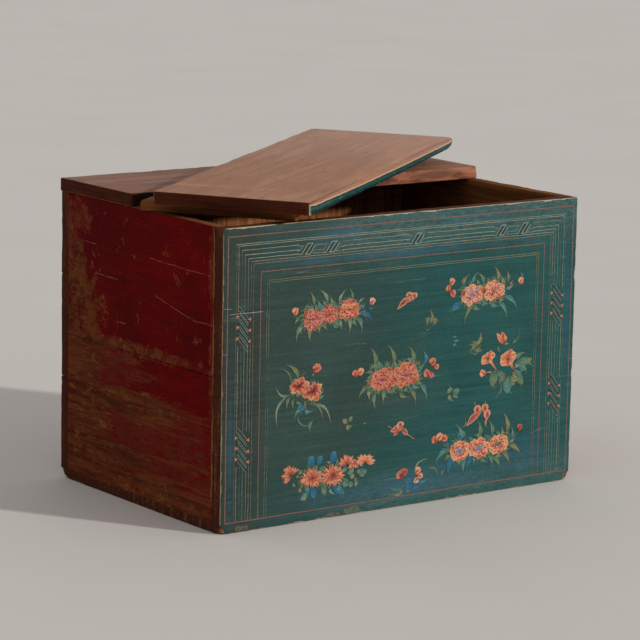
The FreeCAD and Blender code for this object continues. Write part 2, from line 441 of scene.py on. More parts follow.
def painted_front():
    """Teal paint over a cream undercoat on the front face, and bare wood elsewhere, with painted shade on top
    of the rim.
    """
    material, web = new_finish("painted_front")
    place = web.place()
    tone = colours()
    wood, wood_height = bare_colour(web, shifted_place(web), place)
    x, y, z = web.split(place)
    ground = ground_colour(web, place)
    wear = web.group(
        edge_wear(), vector=place, centre=(0, FRONT_FACE, RIM / 2), half=(RIGHT_FACE, 0.0005, RIM / 2),
        reach=0.0024,
    )
    ends = web.span(web.math("ABSOLUTE", x), RIGHT_FACE - 0.004, RIGHT_FACE - 0.001)
    wood = web.mix(ends, wood, plank_end(web, place, UPRIGHT, 0.7))
    # Painted shade on the rim's top: dark at the left, where the lid shades it, and darkened less further
    # right
    shaded_left_rim = web.times(web.span(z, RIM - 0.003, RIM - 0.001), web.span(x, -0.16, -0.2))
    wood = web.mix(shaded_left_rim, wood, ink(84, 50, 32))
    shaded_right_rim = web.span(z, RIM - 0.002, RIM - 0.0005, 0.0, 0.65)
    wood = web.mix(web.times(shaded_right_rim, web.span(x, -0.2, -0.16)), wood, ink(60, 40, 28))
    cream = web.mix(web.noise(place, 70.0, detail=3.0), tone.undercoat, ink(120, 92, 62))
    cream = web.layers(cream, (z, RIM - 0.008, RIM - 0.004, 0.6, ink(188, 176, 158)))
    colour = web.mix(wear["Worn"], ground["Colour"], cream)
    colour = web.mix(wear["Bare"], colour, web.mix(0.5, wood, ink(96, 62, 38)))
    rubbed = worst_patch(web, place, FRONT_RUBBED, ((2.4, web.noise(place, 130.0, detail=5.0, rough=0.7)),))
    colour = web.layers(colour, (rubbed, 0.02, 0.30, 0.45, ink(118, 106, 80)))
    line = web.math("MULTIPLY_ADD", web.noise(place, 160.0, detail=2.0), 0.0016, y)
    face = web.span(line, FRONT_FACE + 0.0030, FRONT_FACE + 0.0022)
    colour = web.mix(face, wood, colour)
    rough = web.mix(face, (0.75, 0.75, 0.75, 1), ground["Roughness"])
    web.surface(colour, rough, web.plus(wood_height, ground["Height"]), 0.0006, 0.35, 0.07)
    return material


# Worn places of the side walls: bare wood, then paint that is rubbed thin
LEFT_BARE = on_side(
    LEFT_FACE, (0.290, 0.36, 0.150, 0.115), (0.285, 0.50, 0.030, 0.15), (0.18, 0.318, 0.26, 0.012),
    (0.25, 0.15, 0.14, 0.17), (0.03, 0.207, 0.19, 0.032), (0.0, 0.025, 0.36, 0.040),
    (0.10, 0.09, 0.16, 0.03), (0.225, 0.46, 0.03, 0.05),
)
LEFT_THIN = on_side(
    LEFT_FACE, (0.15, 0.27, 0.17, 0.05), (-0.02, 0.12, 0.34, 0.10), (0.25, 0.50, 0.03, 0.12),
    (-0.15, 0.19, 0.12, 0.04), (0.06, 0.320, 0.30, 0.014), (0.06, 0.272, 0.16, 0.012),
    (-0.262, 0.52, 0.014, 0.09), (-0.264, 0.33, 0.012, 0.16), (0.23, 0.56, 0.05, 0.03),
    (-0.25, 0.11, 0.03, 0.10),
)
RIGHT_BARE = on_side(
    RIGHT_FACE, (0.27, 0.30, 0.10, 0.30), (0.02, 0.318, 0.26, 0.014), (-0.16, 0.16, 0.16, 0.06),
    (0.05, 0.03, 0.34, 0.04), (-0.272, 0.32, 0.008, 0.40),
)
RIGHT_THIN = on_side(
    RIGHT_FACE, (0.05, 0.10, 0.34, 0.09), (-0.05, 0.50, 0.12, 0.04), (0.20, 0.42, 0.10, 0.12),
)

# Single scratches of the side walls, and how wide one is
LEFT_SCRATCHES = lines_on_side(
    LEFT_FACE, (-0.255, 0.507, -0.040, 0.512), (-0.265, 0.411, -0.190, 0.412), (-0.190, 0.412, -0.060, 0.440),
    (0.160, 0.513, 0.200, 0.515), (0.080, 0.452, 0.160, 0.454), (0.050, 0.366, 0.080, 0.364),
    (0.000, 0.372, 0.004, 0.394), (-0.125, 0.494, -0.140, 0.470), (-0.135, 0.490, -0.150, 0.474),
)
RIGHT_SCRATCHES = lines_on_side(
    RIGHT_FACE, (-0.20, 0.47, 0.05, 0.485), (0.02, 0.40, 0.16, 0.375), (-0.14, 0.22, -0.02, 0.23),
)
SCRATCH_WIDTH = 0.0011


def scratch_line():
    """One thin broken scratch between two points."""
    def fill(web, given):
        place = given["Vector"]
        stray = web.node("ShaderNodeTexNoise", {"Vector": place, "Scale": 26.0, "Detail": 3.0}).outputs[1]
        stray = web.vector("MULTIPLY", web.vector("SUBTRACT", stray, (0.5, 0.5, 0.5)), (0.0, 0.006, 0.006))
        off = web.vector("SUBTRACT", web.vector("ADD", place, stray), given["Start"])
        run = web.vector("SUBTRACT", given["End"], given["Start"])
        ahead, whole = web.vector("DOT_PRODUCT", off, run), web.vector("DOT_PRODUCT", run, run)
        share = web.math("DIVIDE", ahead, whole, clamp=True)
        distance = web.vector("LENGTH", web.vector("SUBTRACT", off, web.vector("MULTIPLY", run, share)))
        line = web.span(distance, SCRATCH_WIDTH, 0.4 * SCRATCH_WIDTH)
        broken = web.span(web.noise(place, 60.0, detail=3.0), 0.30, 0.60)
        return {"Mask": web.times(line, broken)}

    takes = {"Vector": "Vector", "Start": "Vector", "End": "Vector"}
    return shared("Scratch line", takes, {"Mask": "Float"}, fill)


# How end grain is streaked: up the walls' planks, and level on the planks that lie flat
UPRIGHT = (60.0, 60.0, 7.0)
LEVEL = (8.0, 8.0, 150.0)
# From where the wood of a top plank's end shows: a little in from the end, and full nearer to it
END_START, END_FULL = 0.0048, 0.0030


def plank_end(web, place, run, bright=0.0):
    """Grimed end grain, streaked one way, with ochre where it is rubbed."""
    rings = web.noise(place, run, detail=5.0, rough=0.65)
    fine = web.noise(place, 330.0, detail=4.0, rough=0.65)
    tone = web.math("MULTIPLY_ADD", fine, 0.8, rings)
    colour = web.mix(web.span(tone, 0.6, 1.2), colours().end_grain, ink(88, 45, 29))
    return web.layers(colour, (tone, 0.96, 1.14, bright, ink(150, 98, 58)))


def red_side(name, bare_places, thin_places, marks):
    """Dark red paint outside a side wall, rubbed thin and worn through in places, and bare wood inside."""
    material, web = new_finish(name)
    tone = colours()
    place = web.place()
    across, depth, level = web.split(place)
    x, y, z = web.split(shifted_place(web))
    along = web.pack(y, x, z)
    inner = bare_colour(web, along, place)[0]
    old = web.group(plank_grain(), vector=along, rings=11.0, dark=tone.side_wood_dark, light=tone.side_wood)
    streak = web.noise(along, (7.0, 1.0, 80.0), detail=6.0, rough=0.7)
    blotch = web.span(web.noise(place, 34.0, detail=7.0, rough=0.74, swirl=0.5), 0.18, 0.82)
    flake = web.noise(along, (36.0, 1.0, 74.0), detail=6.0, rough=0.75, swirl=0.5)
    grit = web.noise(along, (170.0, 1.0, 360.0), detail=4.0, rough=0.7)
    broad = web.noise(place, 5.0, detail=3.0)
    speck = web.noise(place, 190.0, detail=3.0, rough=0.7)
    lower = web.span(level, 0.313, 0.300)
    torn = web.math("MULTIPLY_ADD", web.minus(streak, blotch), lower, blotch)
    worn = worst_patch(web, place, bare_places, ((1.5, torn), (0.8, flake), (0.9, grit)))
    gone = web.span(worn, -0.01, 0.07)
    rubbed = worst_patch(web, place, thin_places, ((1.3, torn), (1.3, flake), (1.5, grit)))
    red = web.layers(
        tone.red_dark, (broad, 0.35, 0.62, 1.0, tone.red),
        (depth, -0.05, 0.25, 0.3, ink(78, 8, 10)), (streak, 0.44, 0.60, 0.5, ink(74, 3, 6)),
        (grit, 0.54, 0.66, 0.75, ink(58, 2, 5)), (grit, 0.46, 0.34, 0.6, ink(138, 14, 14)),
        (speck, 0.66, 0.74, 0.6, ink(122, 62, 44)),
    )
    brown = web.layers(
        ink(98, 42, 26), (flake, 0.47, 0.57, 1.0, ink(106, 15, 14)),
        (torn, 0.52, 0.62, 0.5, ink(124, 68, 38)),
    )
    wood = web.layers(tone.side_wood_dark, (torn, 0.40, 0.60, 1.0, tone.side_wood))
    wood = web.layers(
        web.mix(0.4, wood, old["Colour"]), (flake, 0.55, 0.63, 0.5, ink(146, 94, 50)),
        (flake, 0.45, 0.36, 0.75, ink(94, 20, 16)), (grit, 0.56, 0.70, 0.7, ink(42, 23, 16)),
    )
    colour = web.layers(red, (rubbed, -0.02, 0.12, 0.88, brown))
    colour = web.mix(gone, colour, wood)
    bend = web.minus(web.noise(place, 70.0, detail=4.0), 0.5)
    stray = web.math("MULTIPLY_ADD", bend, 0.008, depth)
    seam = web.span(web.math("ABSOLUTE", web.plus(stray, 0.2655)), 0.0026, 0.0010)
    seam = web.times(seam, web.span(web.noise(place, (40.0, 40.0, 12.0), detail=4.0), 0.40, 0.52))
    colour = web.mix(web.times(seam, 0.8), colour, ink(150, 102, 60))
    for start, end in marks:
        mark = web.group(scratch_line(), vector=place, start=start, end=end)["Mask"]
        colour = web.mix(web.times(mark, 0.5), colour, ink(170, 116, 96))
    x, y, z = web.split(web.turned(place, rotation=(0.16, 0, 0)))
    lines = web.group(scratches(), vector=web.pack(y, x, z), width=0.006, spare=0.64)["Mask"]
    colour = web.mix(web.times(lines, 0.3), colour, ink(150, 92, 72))
    colour = grime(web, place, colour, 0.3)
    ragged = web.noise(place, 150.0, detail=2.0)
    line = web.math("MULTIPLY_ADD", ragged, 0.0016, web.math("ABSOLUTE", across))
    outside = web.span(line, RIGHT_FACE - 0.0026, RIGHT_FACE - 0.0016)
    colour = web.mix(outside, inner, colour)
    painted = web.times(outside, web.minus(1.0, gone))
    rough = web.span(painted, 0.0, 1.0, 0.75, 0.5)
    height = web.math("MULTIPLY_ADD", gone, -0.6, web.math("MULTIPLY_ADD", grit, 0.5, old["Height"]))
    web.surface(colour, rough, height, 0.0006, 0.4, 0.02)
    return material


def bare_plank():
    """Unpainted wood of the back and the bottom, with saw marks inside the back."""
    material, web = new_finish("bare_plank")
    place = web.place()
    colour, height = bare_colour(web, shifted_place(web), place)
    x, y, z = web.split(place)
    wall = web.span(z, BOTTOM_TOP - 0.001, BOTTOM_TOP + 0.001)
    cuts = web.span(web.noise(place, (150.0, 1.0, 5.0), detail=4.0, rough=0.7), 0.32, 0.66, 0.5, 1.5)
    sawn = web.mix(1.0, colour, web.even(cuts), "MULTIPLY")
    inside = web.times(wall, web.span(y, BACK_INSIDE + 0.0015, BACK_INSIDE + 0.0010))
    colour = web.mix(inside, colour, sawn)
    ends = web.span(web.math("ABSOLUTE", x), RIGHT_FACE - 0.004, RIGHT_FACE - 0.0005)
    end_colour = web.mix(wall, plank_end(web, place, LEVEL), plank_end(web, place, UPRIGHT, 0.3))
    colour = web.mix(ends, colour, end_colour)
    web.surface(colour, web.span(height, 0.3, 1.2, 0.6, 0.85), height, 0.0006, 0.4, 0.04)
    return material


def top_grain(web, local, dark, light):
    """Worn waxed grain along X with darker patches and specks: the colour, the grain and the patches."""
    grain = web.group(plank_grain(), vector=local, rings=8.0, dark=dark, light=light)
    patches = web.noise(local, (3.0, 9.0, 9.0), detail=4.0, rough=0.6)
    dashes = web.noise(local, (30.0, 150.0, 150.0), detail=2.0)
    pale = web.noise(local, (14.0, 60.0, 60.0), detail=3.0, rough=0.6)
    colour = web.layers(
        grain["Colour"], (patches, 0.42, 0.68, 0.5, dark), (dashes, 0.64, 0.74, 0.6, ink(84, 54, 43)),
        (pale, 0.58, 0.72, 0.4, ink(186, 146, 118)),
    )
    return colour, grain, patches


def top_surface(web, colour, grain, smooth, ends):
    """The waxed surface of a top plank, rougher along the pores and dull at the ends."""
    rough = web.span(grain["Share"], 0.2, 0.9, smooth, smooth + 0.18)
    web.surface(colour, rough, grain["Height"], 0.0005, 0.35, web.span(ends, 0.0, 1.0, 0.09, 0.01))


def rear_top():
    """Worn brown wood of the fixed rear board, with dark ends, a rubbed front with a painted shadow of the
    lid at its left end, and a grey smear.
    """
    material, web = new_finish("rear_top")
    local = web.place()
    low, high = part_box("rear_top_board")
    centre, half = (low + high) / 2, (high - low) / 2
    x, y, z = web.split(web.vector("SUBTRACT", local, tuple(centre)))
    colour, grain, patches = top_grain(web, local, ink(125, 82, 65), ink(170, 123, 103))
    worked = web.noise(local, (16.0, 20.0, 60.0), detail=5.0, rough=0.65)
    # The rubbed front, with a painted shadow of the lid that darkens its left end
    rubbed = web.layers(
        ink(108, 66, 47), (worked, 0.35, 0.62, 1.0, ink(168, 108, 80)),
        (x, -0.33, -0.37, 1.0, ink(42, 24, 16)),
    )
    smudge = nearest_patch(web, local, [((0.33, low.y, 0.622), (0.09, 0.02, 0.014))])
    smudge = web.plus(smudge, web.times(worked, 2.0))
    colour = web.layers(
        colour, (y, -half.y + 0.004, -half.y + 0.0015, 1.0, rubbed), (smudge, 1.2, 1.8, 0.6, ink(62, 46, 40)),
    )
    ends = web.span(web.math("ABSOLUTE", x), half.x - END_START, half.x - END_FULL)
    colour = web.mix(ends, colour, plank_end(web, local, LEVEL))
    smear = web.plus(nearest_patch(web, local, [((-0.31, 0.13, high.z), (0.11, 0.05, 1.0))]), patches)
    colour = web.layers(colour, (smear, 0.75, 1.2, 0.6, ink(104, 102, 94)))
    wear = web.group(edge_wear(), vector=local, centre=tuple(centre), half=tuple(half), reach=0.0020)
    colour = web.mix(web.times(wear["Worn"], 0.2), colour, ink(178, 128, 96))
    under = bare_colour(web, local, local)[0]
    colour = web.layers(colour, (z, -half.z + 0.003, -half.z + 0.001, 1.0, under))
    top_surface(web, colour, grain, 0.42, ends)
    return material


def lid_top():
    """Worn brown wood of the lid, with a painted sheen that lightens it towards the right end; its front edge
    is painted teal below a pale rubbed line, with painted shade on its lower part.
    """
    material, web = new_finish("lid_top")
    tone = colours()
    place = web.place()
    local = web.turned(place, location=LID_PLACE, rotation=(0, -LID_TILT, LID_TURN))
    x, y, z = web.split(local)
    colour, grain = top_grain(web, local, tone.top_wood_dark, tone.top_wood)[:2]
    # Painted sheen: lighter towards the right end, as a reflection would be; the top also darkens towards the
    # left end
    colour = web.layers(
        colour, (x, LID_LEFT + 0.3, LID_RIGHT, 0.22, ink(232, 196, 188)),
        (x, LID_LEFT + 0.4, LID_LEFT, 0.14, tone.top_wood_dark),
    )
    middle, reach = (LID_LEFT + LID_RIGHT) / 2, (LID_RIGHT - LID_LEFT) / 2
    side = web.math("ABSOLUTE", web.minus(x, middle))
    ends = web.span(side, reach - END_START, reach - END_FULL)
    colour = web.mix(ends, colour, plank_end(web, local, LEVEL))
    share = web.math("DIVIDE", web.minus(x, LID_LEFT), LID_RIGHT - LID_LEFT)
    bow = web.math("SINE", web.times(share, math.pi))
    stray = web.math("MULTIPLY_ADD", web.noise(local, 80.0, detail=4.0, rough=0.65), 0.0046, z)
    line = web.math("MULTIPLY_ADD", bow, -NOSE_RISE, LID_NOSE + NOSE_RISE + 0.0040)
    below = web.minus(line, stray)
    ground = ground_colour(web, web.vector("ADD", local, (0.2, 0.0, 0.36)))
    chalky = web.noise(local, 140.0, detail=5.0, rough=0.7)
    # Painted shade on the front edge: darker on its lower part and in a band under the pale line; the rolled
    # strip above the line is darkened against the light that it catches
    edge = web.layers(
        ground["Colour"], (below, 0.009, 0.018, 0.8, ink(12, 26, 28)),
        (chalky, 0.56, 0.70, 0.6, ink(112, 146, 152)), (below, 0.0085, 0.0045, 0.7, ink(28, 40, 38)),
        (below, 0.0042, 0.0032, 1.0, ink(186, 152, 122)),
        (below, 0.0012, 0.0004, 1.0, web.mix(0.5, colour, ink(96, 62, 46))),
        (below, -0.0050, -0.0075, 1.0, colour),
    )
    ragged = web.math("MULTIPLY_ADD", web.noise(local, 150.0, detail=5.0, rough=0.7), 0.016, side)
    chipped = web.span(ragged, reach + 0.0042, reach + 0.0052)
    edge = web.mix(web.times(chipped, web.span(below, -0.001, 0.001)), edge, tone.undercoat)
    front = web.span(y, LID_FRONT + 0.0100, LID_FRONT + 0.0085)
    colour = web.mix(front, colour, edge)
    under = web.times(web.span(z, LID_LOW + 0.0016, LID_LOW + 0.0006), web.span(front, 0.5, 0.0))
    colour = web.mix(under, colour, bare_colour(web, local, place)[0])
    top_surface(web, colour, grain, 0.46, ends)
    return material


def cleat_wood():
    """Raw orange-brown wood of the lid's battens, with the grain along each batten."""
    material, web = new_finish("cleat_wood")
    place = web.place()
    local = web.turned(place, location=LID_PLACE, rotation=(0, -LID_TILT, LID_TURN + math.pi / 2))
    grain = web.group(plank_grain(), vector=local, rings=7.0, dark=ink(70, 36, 17), light=ink(128, 74, 35))
    colour = grime(web, place, grain["Colour"], 0.55)
    web.surface(colour, web.span(grain["Share"], 0.2, 0.9, 0.55, 0.75), grain["Height"], 0.0006, 0.4)
    return material


def ornament_paint():
    """Hand-laid colours of the ornament, thin and rubbed away in places to the ground colour."""
    material, web = new_finish("ornament_paint")
    place = web.place()
    ground = ground_colour(web, place)
    laid = web.attribute("paint", "Color")
    keep = web.attribute("cover", "Fac")
    brush = web.noise(place, (150.0, 1.0, 420.0), detail=3.0, rough=0.6)
    fleck = web.noise(place, 300.0, detail=3.0, rough=0.65)
    tone = web.math("MULTIPLY_ADD", brush, 0.5, web.math("MULTIPLY_ADD", fleck, 2.0, -0.22))
    colour = web.mix(1.0, laid, web.even(tone), "MULTIPLY")
    chip = web.noise(place, 210.0, detail=4.0, rough=0.7)
    colour = web.layers(colour, (chip, 0.54, 0.66, 0.6, ground["Colour"]))
    rub = web.noise(place, (24.0, 1.0, 120.0), detail=4.0, rough=0.65)
    wide = web.noise(place, 12.0, detail=3.0)
    left = web.plus(web.times(rub, 0.6), web.times(wide, 0.4))
    shown = web.span(web.minus(keep, left), -0.14, 0.24)
    colour = web.mix(shown, ground["Colour"], colour)
    web.surface(colour, web.span(brush, 0.2, 0.8, 0.45, 0.62), web.plus(brush, fleck), 0.0002, 0.3)
    return material


def nail_iron():
    """Dark scaled iron of the nails."""
    material, web = new_finish("nail_iron")
    place = web.place()
    scale = web.noise(place, 420.0, detail=4.0, rough=0.6)
    rust = web.span(web.noise(place, 160.0, detail=3.0), 0.5, 0.7)
    colour = web.mix(rust, ink(52, 46, 43), ink(92, 54, 34))
    shader = web.surface(colour, web.span(scale, 0.2, 0.8, 0.5, 0.8), scale, 0.0003, 0.5)
    web.feed(shader.inputs["Metallic"], web.minus(1.0, rust))
    return material


def pin_bamboo():
    """Split bamboo of the pins, with upright fibres."""
    material, web = new_finish("pin_bamboo")
    place = web.place()
    x, y, z = web.split(place)
    dark, light = ink(160, 132, 84), ink(208, 184, 132)
    grain = web.group(plank_grain(), vector=web.pack(z, x, y), rings=5.0, dark=dark, light=light)
    web.surface(grain["Colour"], web.span(grain["Share"], 0.2, 0.9, 0.45, 0.65), grain["Height"], 0.0003, 0.4)
    return material


def pale_floor():
    """Plain pale floor with a faint mottle."""
    material, web = new_finish("pale_floor")
    place = web.place()
    cloud = web.noise(place, 1.6, detail=4.0, rough=0.55)
    fine = web.noise(place, 60.0, detail=3.0)
    colour = web.mix(web.span(cloud, 0.2, 0.8), ink(226, 221, 216), ink(229, 225, 220))
    web.surface(colour, web.span(fine, 0.2, 0.8, 0.6, 0.75), fine, 0.0004, 0.15)
    return material


def finish(name):
    """A material by name, built the first time that a piece asks for it."""
    makers = {
        "painted_front": painted_front,
        "red_left": lambda: red_side("red_left", LEFT_BARE, LEFT_THIN, LEFT_SCRATCHES),
        "red_right": lambda: red_side("red_right", RIGHT_BARE, RIGHT_THIN, RIGHT_SCRATCHES),
        "bare_plank": bare_plank,
        "rear_top": rear_top,
        "lid_top": lid_top,
        "cleat_wood": cleat_wood,
        "ornament_paint": ornament_paint,
        "nail_iron": nail_iron,
        "pin_bamboo": pin_bamboo,
        "pale_floor": pale_floor,
    }
    return bpy.data.materials.get(name) or makers[name]()


# Modelling by hand

X_AXIS, Y_AXIS, Z_AXIS = 0, 1, 2
# How near two places count as one, and two ways as the same
SAME_PLACE = 1e-5
SAME_WAY = 0.99
# How finely planks are cut before their edges wear: lengths along and across, and numbers of slices
CUT_ALONG, CUT_ACROSS = 0.0065, 0.012
TOP_CUTS, BATTEN_CUTS = 100, 40
# Rounding of corners and edges that isn't the same on every plank, and the steps that it is made of
REAR_TOP_CORNER, LID_CORNER, TONGUE_TIP = 0.009, 0.010, 0.008
LID_EDGE, BATTEN_EDGE = 0.0014, 0.0016
CORNER_STEPS, EDGE_STEPS = 5, 3
BATTEN_CHIP = 0.0018
# The lid's front edge: the strip that is shaped, the cut behind it, and how far top and foot roll back
NOSE_STRIP, NOSE_CUT = 0.0101, 0.025
TOP_ROLL_LEAST, TOP_ROLL_MORE = 0.0012, 0.0048
FOOT_ROLL = 0.004
# How far the foot of that edge rises at the right end, and from what share of the length
FOOT_RISE, RISE_START = 0.0055, 0.4
# Angles from which an edge counts as sharp, a corner as worn, and up to which a face is shaded smooth
SHARP_ANGLE, WORN_ANGLE = 0.6, 0.2
SMOOTH_ANGLE = math.radians(40)
# How fast the wear of an edge changes along it
SLOW_WEAR, QUICK_WEAR = 17, 85
# How near to a tight joint nothing wears, and the ways that a plank can meet its neighbours
JOINT_REACH = 0.0006
WAYS = {"-y": (0, -1, 0), "+y": (0, 1, 0), "-z": (0, 0, -1), "+z": (0, 0, 1)}


def clear_selection():
    bpy.ops.object.select_all(action="DESELECT")


def pick(piece):
    """Makes one piece the only selected and active object."""
    clear_selection()
    piece.select_set(True)
    bpy.context.view_layer.objects.active = piece


def edit(piece):
    pick(piece)
    bpy.ops.object.mode_set(mode="EDIT")


def done():
    bpy.ops.object.mode_set(mode="OBJECT")


def settle():
    """Moves the selected pieces' places into their meshes."""
    bpy.ops.object.transform_apply(location=True, rotation=True, scale=True)


def block(name, low, high):
    """A cube added at its size and place."""
    low, high = Vector(low), Vector(high)
    clear_selection()
    bpy.ops.mesh.primitive_cube_add(size=1, location=(low + high) / 2, scale=high - low)
    piece = bpy.context.active_object
    piece.name = name
    piece.data.name = name
    settle()
    return piece


def pick_edges(piece, test):
    """Selects the edges that pass a test, in edit mode."""
    bpy.ops.mesh.select_mode(type="EDGE")
    bpy.ops.mesh.select_all(action="DESELECT")
    mesh = bmesh.from_edit_mesh(piece.data)
    for edge in mesh.edges:
        edge.select_set(test(edge))
    bmesh.update_edit_mesh(piece.data)


def pick_corners(piece, test):
    """Selects the vertices that pass a test, in edit mode."""
    bpy.ops.mesh.select_mode(type="VERT")
    bpy.ops.mesh.select_all(action="DESELECT")
    mesh = bmesh.from_edit_mesh(piece.data)
    for vert in mesh.verts:
        vert.select_set(test(vert.co))
    mesh.select_flush_mode()
    bmesh.update_edit_mesh(piece.data)


def runs_along(axis):
    """A test for edges that run along one axis."""
    def test(edge):
        way = (edge.verts[1].co - edge.verts[0].co).normalized()
        return abs(way[axis]) > SAME_WAY

    return test


def cut_lengths(piece, axis, step):
    """Cuts a box into equal lengths along one axis."""
    edit(piece)
    reach = piece.dimensions[axis]
    pick_edges(piece, runs_along(axis))
    bpy.ops.mesh.subdivide(number_cuts=max(1, round(reach / step) - 1))
    done()


def slice_lengths(piece, axis, start, end, count):
    """Slices a piece across one axis at even places, whatever its outline."""
    edit(piece)
    normal = [0.0, 0.0, 0.0]
    normal[axis] = 1.0
    for k in range(1, count):
        bpy.ops.mesh.select_all(action="SELECT")
        spot = [0.0, 0.0, 0.0]
        spot[axis] = start + (end - start) * k / count
        bpy.ops.mesh.bisect(plane_co=spot, plane_no=normal)
    done()


def bevel_edges(piece, test, width):
    """Rounds the edges that pass a test."""
    edit(piece)
    pick_edges(piece, test)
    bpy.ops.mesh.bevel(offset=width, segments=CORNER_STEPS, affect="EDGES", clamp_overlap=False)
    done()


def ease_edges(piece, width_of, widest):
    """Rounds every sharp edge by its own width."""
    mesh = bmesh.new()
    mesh.from_mesh(piece.data)
    layer = mesh.edges.layers.float.new("bevel_weight_edge")
    for edge in mesh.edges:
        if len(edge.link_faces) == 2 and edge.calc_face_angle() > SHARP_ANGLE:
            edge[layer] = min(1.0, width_of(edge) / widest)
    mesh.to_mesh(piece.data)
    mesh.free()
    pick(piece)
    rounding = piece.modifiers.new("Eased edges", "BEVEL")
    rounding.limit_method = "WEIGHT"
    rounding.width = widest
    rounding.segments = EDGE_STEPS
    rounding.use_clamp_overlap = False
    bpy.ops.object.modifier_apply(modifier=rounding.name)


def chip_edges(piece, seed, depth, chips=(), spared=lambda co: False):
    """Wears the rounded edges unevenly, and takes a chip out at each named place."""
    mesh = bmesh.new()
    mesh.from_mesh(piece.data)
    mesh.normal_update()
    away = Vector((seed * 3.7, seed * 1.9, seed * 5.3))
    moves = []
    for vert in mesh.verts:
        faces = [face.normal for face in vert.link_faces]
        spread = max((a.angle(b, 0.0) for a in faces for b in faces), default=0.0)
        slip = 0.0
        if spread > WORN_ANGLE and not spared(vert.co):
            slow = noise.noise(vert.co * SLOW_WEAR + away)
            quick = noise.noise(vert.co * QUICK_WEAR + away)
            slip = depth * (max(0.0, slow - 0.1) * 0.9 + max(0.0, quick - 0.15) * 0.8)
        for spot, reach, drop in chips:
            near = 1 - (vert.co - Vector(spot)).length / reach
            if near > 0:
                slip = max(slip, drop * near * near * (3 - 2 * near))
        moves.append(vert.normal * -slip)
    for vert, move in zip(mesh.verts, moves):
        vert.co += move
    mesh.to_mesh(piece.data)
    mesh.free()


def dress(piece, body, look, nodes=(), shift=None):
    """Gives a finished piece its material and its place in the frame."""
    if shift is not None:
        mark = piece.data.attributes.new("board_shift", "FLOAT", "POINT")
        mark.data.foreach_set("value", [shift] * len(piece.data.vertices))
    piece.data.materials.clear()
    piece.data.materials.append(finish(look))
    pick(piece)
    bpy.ops.object.shade_smooth_by_angle(angle=SMOOTH_ANGLE)
    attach(piece, body)
    if nodes:
        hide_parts(*nodes)


def wall_plank(wall, part, look, axis, joints, shift, chips=()):
    """A wall or bottom plank: eased where its edges are open, tight where it meets its neighbours."""
    node = f"{wall}_board_{part}"
    low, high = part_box(node)
    piece = block(f"{wall}_plank_{part}", low, high)
    reach = high - low
    cut_lengths(piece, axis, CUT_ALONG)
    cut_lengths(piece, Z_AXIS if reach.z > reach[1 - axis] else 1 - axis, CUT_ACROSS)
    tight = [Vector(WAYS[way]) for way in joints]
    look_sizes = sizes()

    def width_of(edge):
        met = any(face.normal.dot(way) > SAME_WAY for face in edge.link_faces for way in tight)
        return look_sizes.joint_round if met else look_sizes.edge_round

    def spared(co):
        """True inside a tight joint, where nothing wears."""
        return any(
            abs(co[k] - (high if way[k] > 0 else low)[k]) < JOINT_REACH
            for way in tight for k in range(3) if way[k]
        )

    ease_edges(piece, width_of, look_sizes.edge_round)
    chip_edges(piece, shift * 10 + 1, look_sizes.chip_depth, chips, spared)
    dress(piece, "chest", look, (node,), shift)


class TRUNK_OT_front_wall(bpy.types.Operator):
    """Model the three painted planks of the front wall"""
    bl_idname = "trunk.front_wall"
    bl_label = "Front wall"

    def execute(self, context):
        chips = [
            ((RIGHT_FACE, FRONT_FACE, 0.439), 0.011, 0.003), ((RIGHT_FACE, FRONT_FACE, 0.230), 0.009, 0.0025),
            ((-0.316, FRONT_FACE, RIM), 0.014, 0.0022), ((LEFT_FACE, FRONT_FACE, RIM), 0.010, 0.002),
        ]
        rows = (("top", ("-z",), 0.31), ("middle", ("-z", "+z"), 1.37), ("bottom", ("-z", "+z"), 2.23))
        for part, joints, shift in rows:
            wall_plank("front", part, "painted_front", X_AXIS, joints, shift, chips)
        return {"FINISHED"}


class TRUNK_OT_side_walls(bpy.types.Operator):
    """Model the red planks of both side walls"""
    bl_idname = "trunk.side_walls"
    bl_label = "Side walls"

    def execute(self, context):
        for side, apart in (("left", 0.0), ("right", 0.4)):
            for half, joints, shift in (("upper", ("-y", "+y"), 0.57), ("lower", ("-y", "+y", "-z"), 1.91)):
                wall_plank(side, half, f"red_{side}", Y_AXIS, joints, shift + apart)
        return {"FINISHED"}


class TRUNK_OT_back_wall(bpy.types.Operator):
    """Model the three bare planks of the back wall"""
    bl_idname = "trunk.back_wall"
    bl_label = "Back wall"

    def execute(self, context):
        for part, joints, shift in (("top", ("+z",), 0.83), ("middle", (), 1.61), ("bottom", ("-z",), 2.79)):
            wall_plank("back", part, "bare_plank", X_AXIS, joints, shift)
        return {"FINISHED"}


class TRUNK_OT_bottom(bpy.types.Operator):
    """Model the three planks of the bottom"""
    bl_idname = "trunk.bottom"
    bl_label = "Bottom"

    def execute(self, context):
        corners = [
            ((RIGHT_FACE, FRONT_FACE, 0.0), 0.022, 0.009), ((LEFT_FACE, FRONT_FACE, 0.0), 0.020, 0.006),
            ((LEFT_FACE, BACK_FACE, 0.0), 0.030, 0.012), ((RIGHT_FACE, BACK_FACE, 0.0), 0.022, 0.008),
        ]
        rows = (
            ("front", "painted_front", 0.47), ("narrow", "bare_plank", 1.13), ("rear", "bare_plank", 2.57),
        )
        for part, look, shift in rows:
            wall_plank("bottom", part, look, X_AXIS, ("+z",), shift, corners)
        return {"FINISHED"}


class TRUNK_OT_rear_top(bpy.types.Operator):
    """Model the fixed rear board of the top"""
    bl_idname = "trunk.rear_top"
    bl_label = "Rear top board"

    def execute(self, context):
        low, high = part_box("rear_top_board")
        piece = block("rear_top_plank", low, high)
        bevel_edges(piece, runs_along(Z_AXIS), REAR_TOP_CORNER)
        slice_lengths(piece, X_AXIS, low.x, high.x, TOP_CUTS)
        width = sizes().edge_round
        ease_edges(piece, lambda edge: width, width)
        corner = (RIGHT_FACE, REAR_TOP_FRONT, RIM + REAR_TOP_THICK)
        chip_edges(piece, 4, sizes().chip_depth, [(corner, 0.016, 0.003)])
        dress(piece, "chest", "rear_top", ("rear_top_board",))
        return {"FINISHED"}


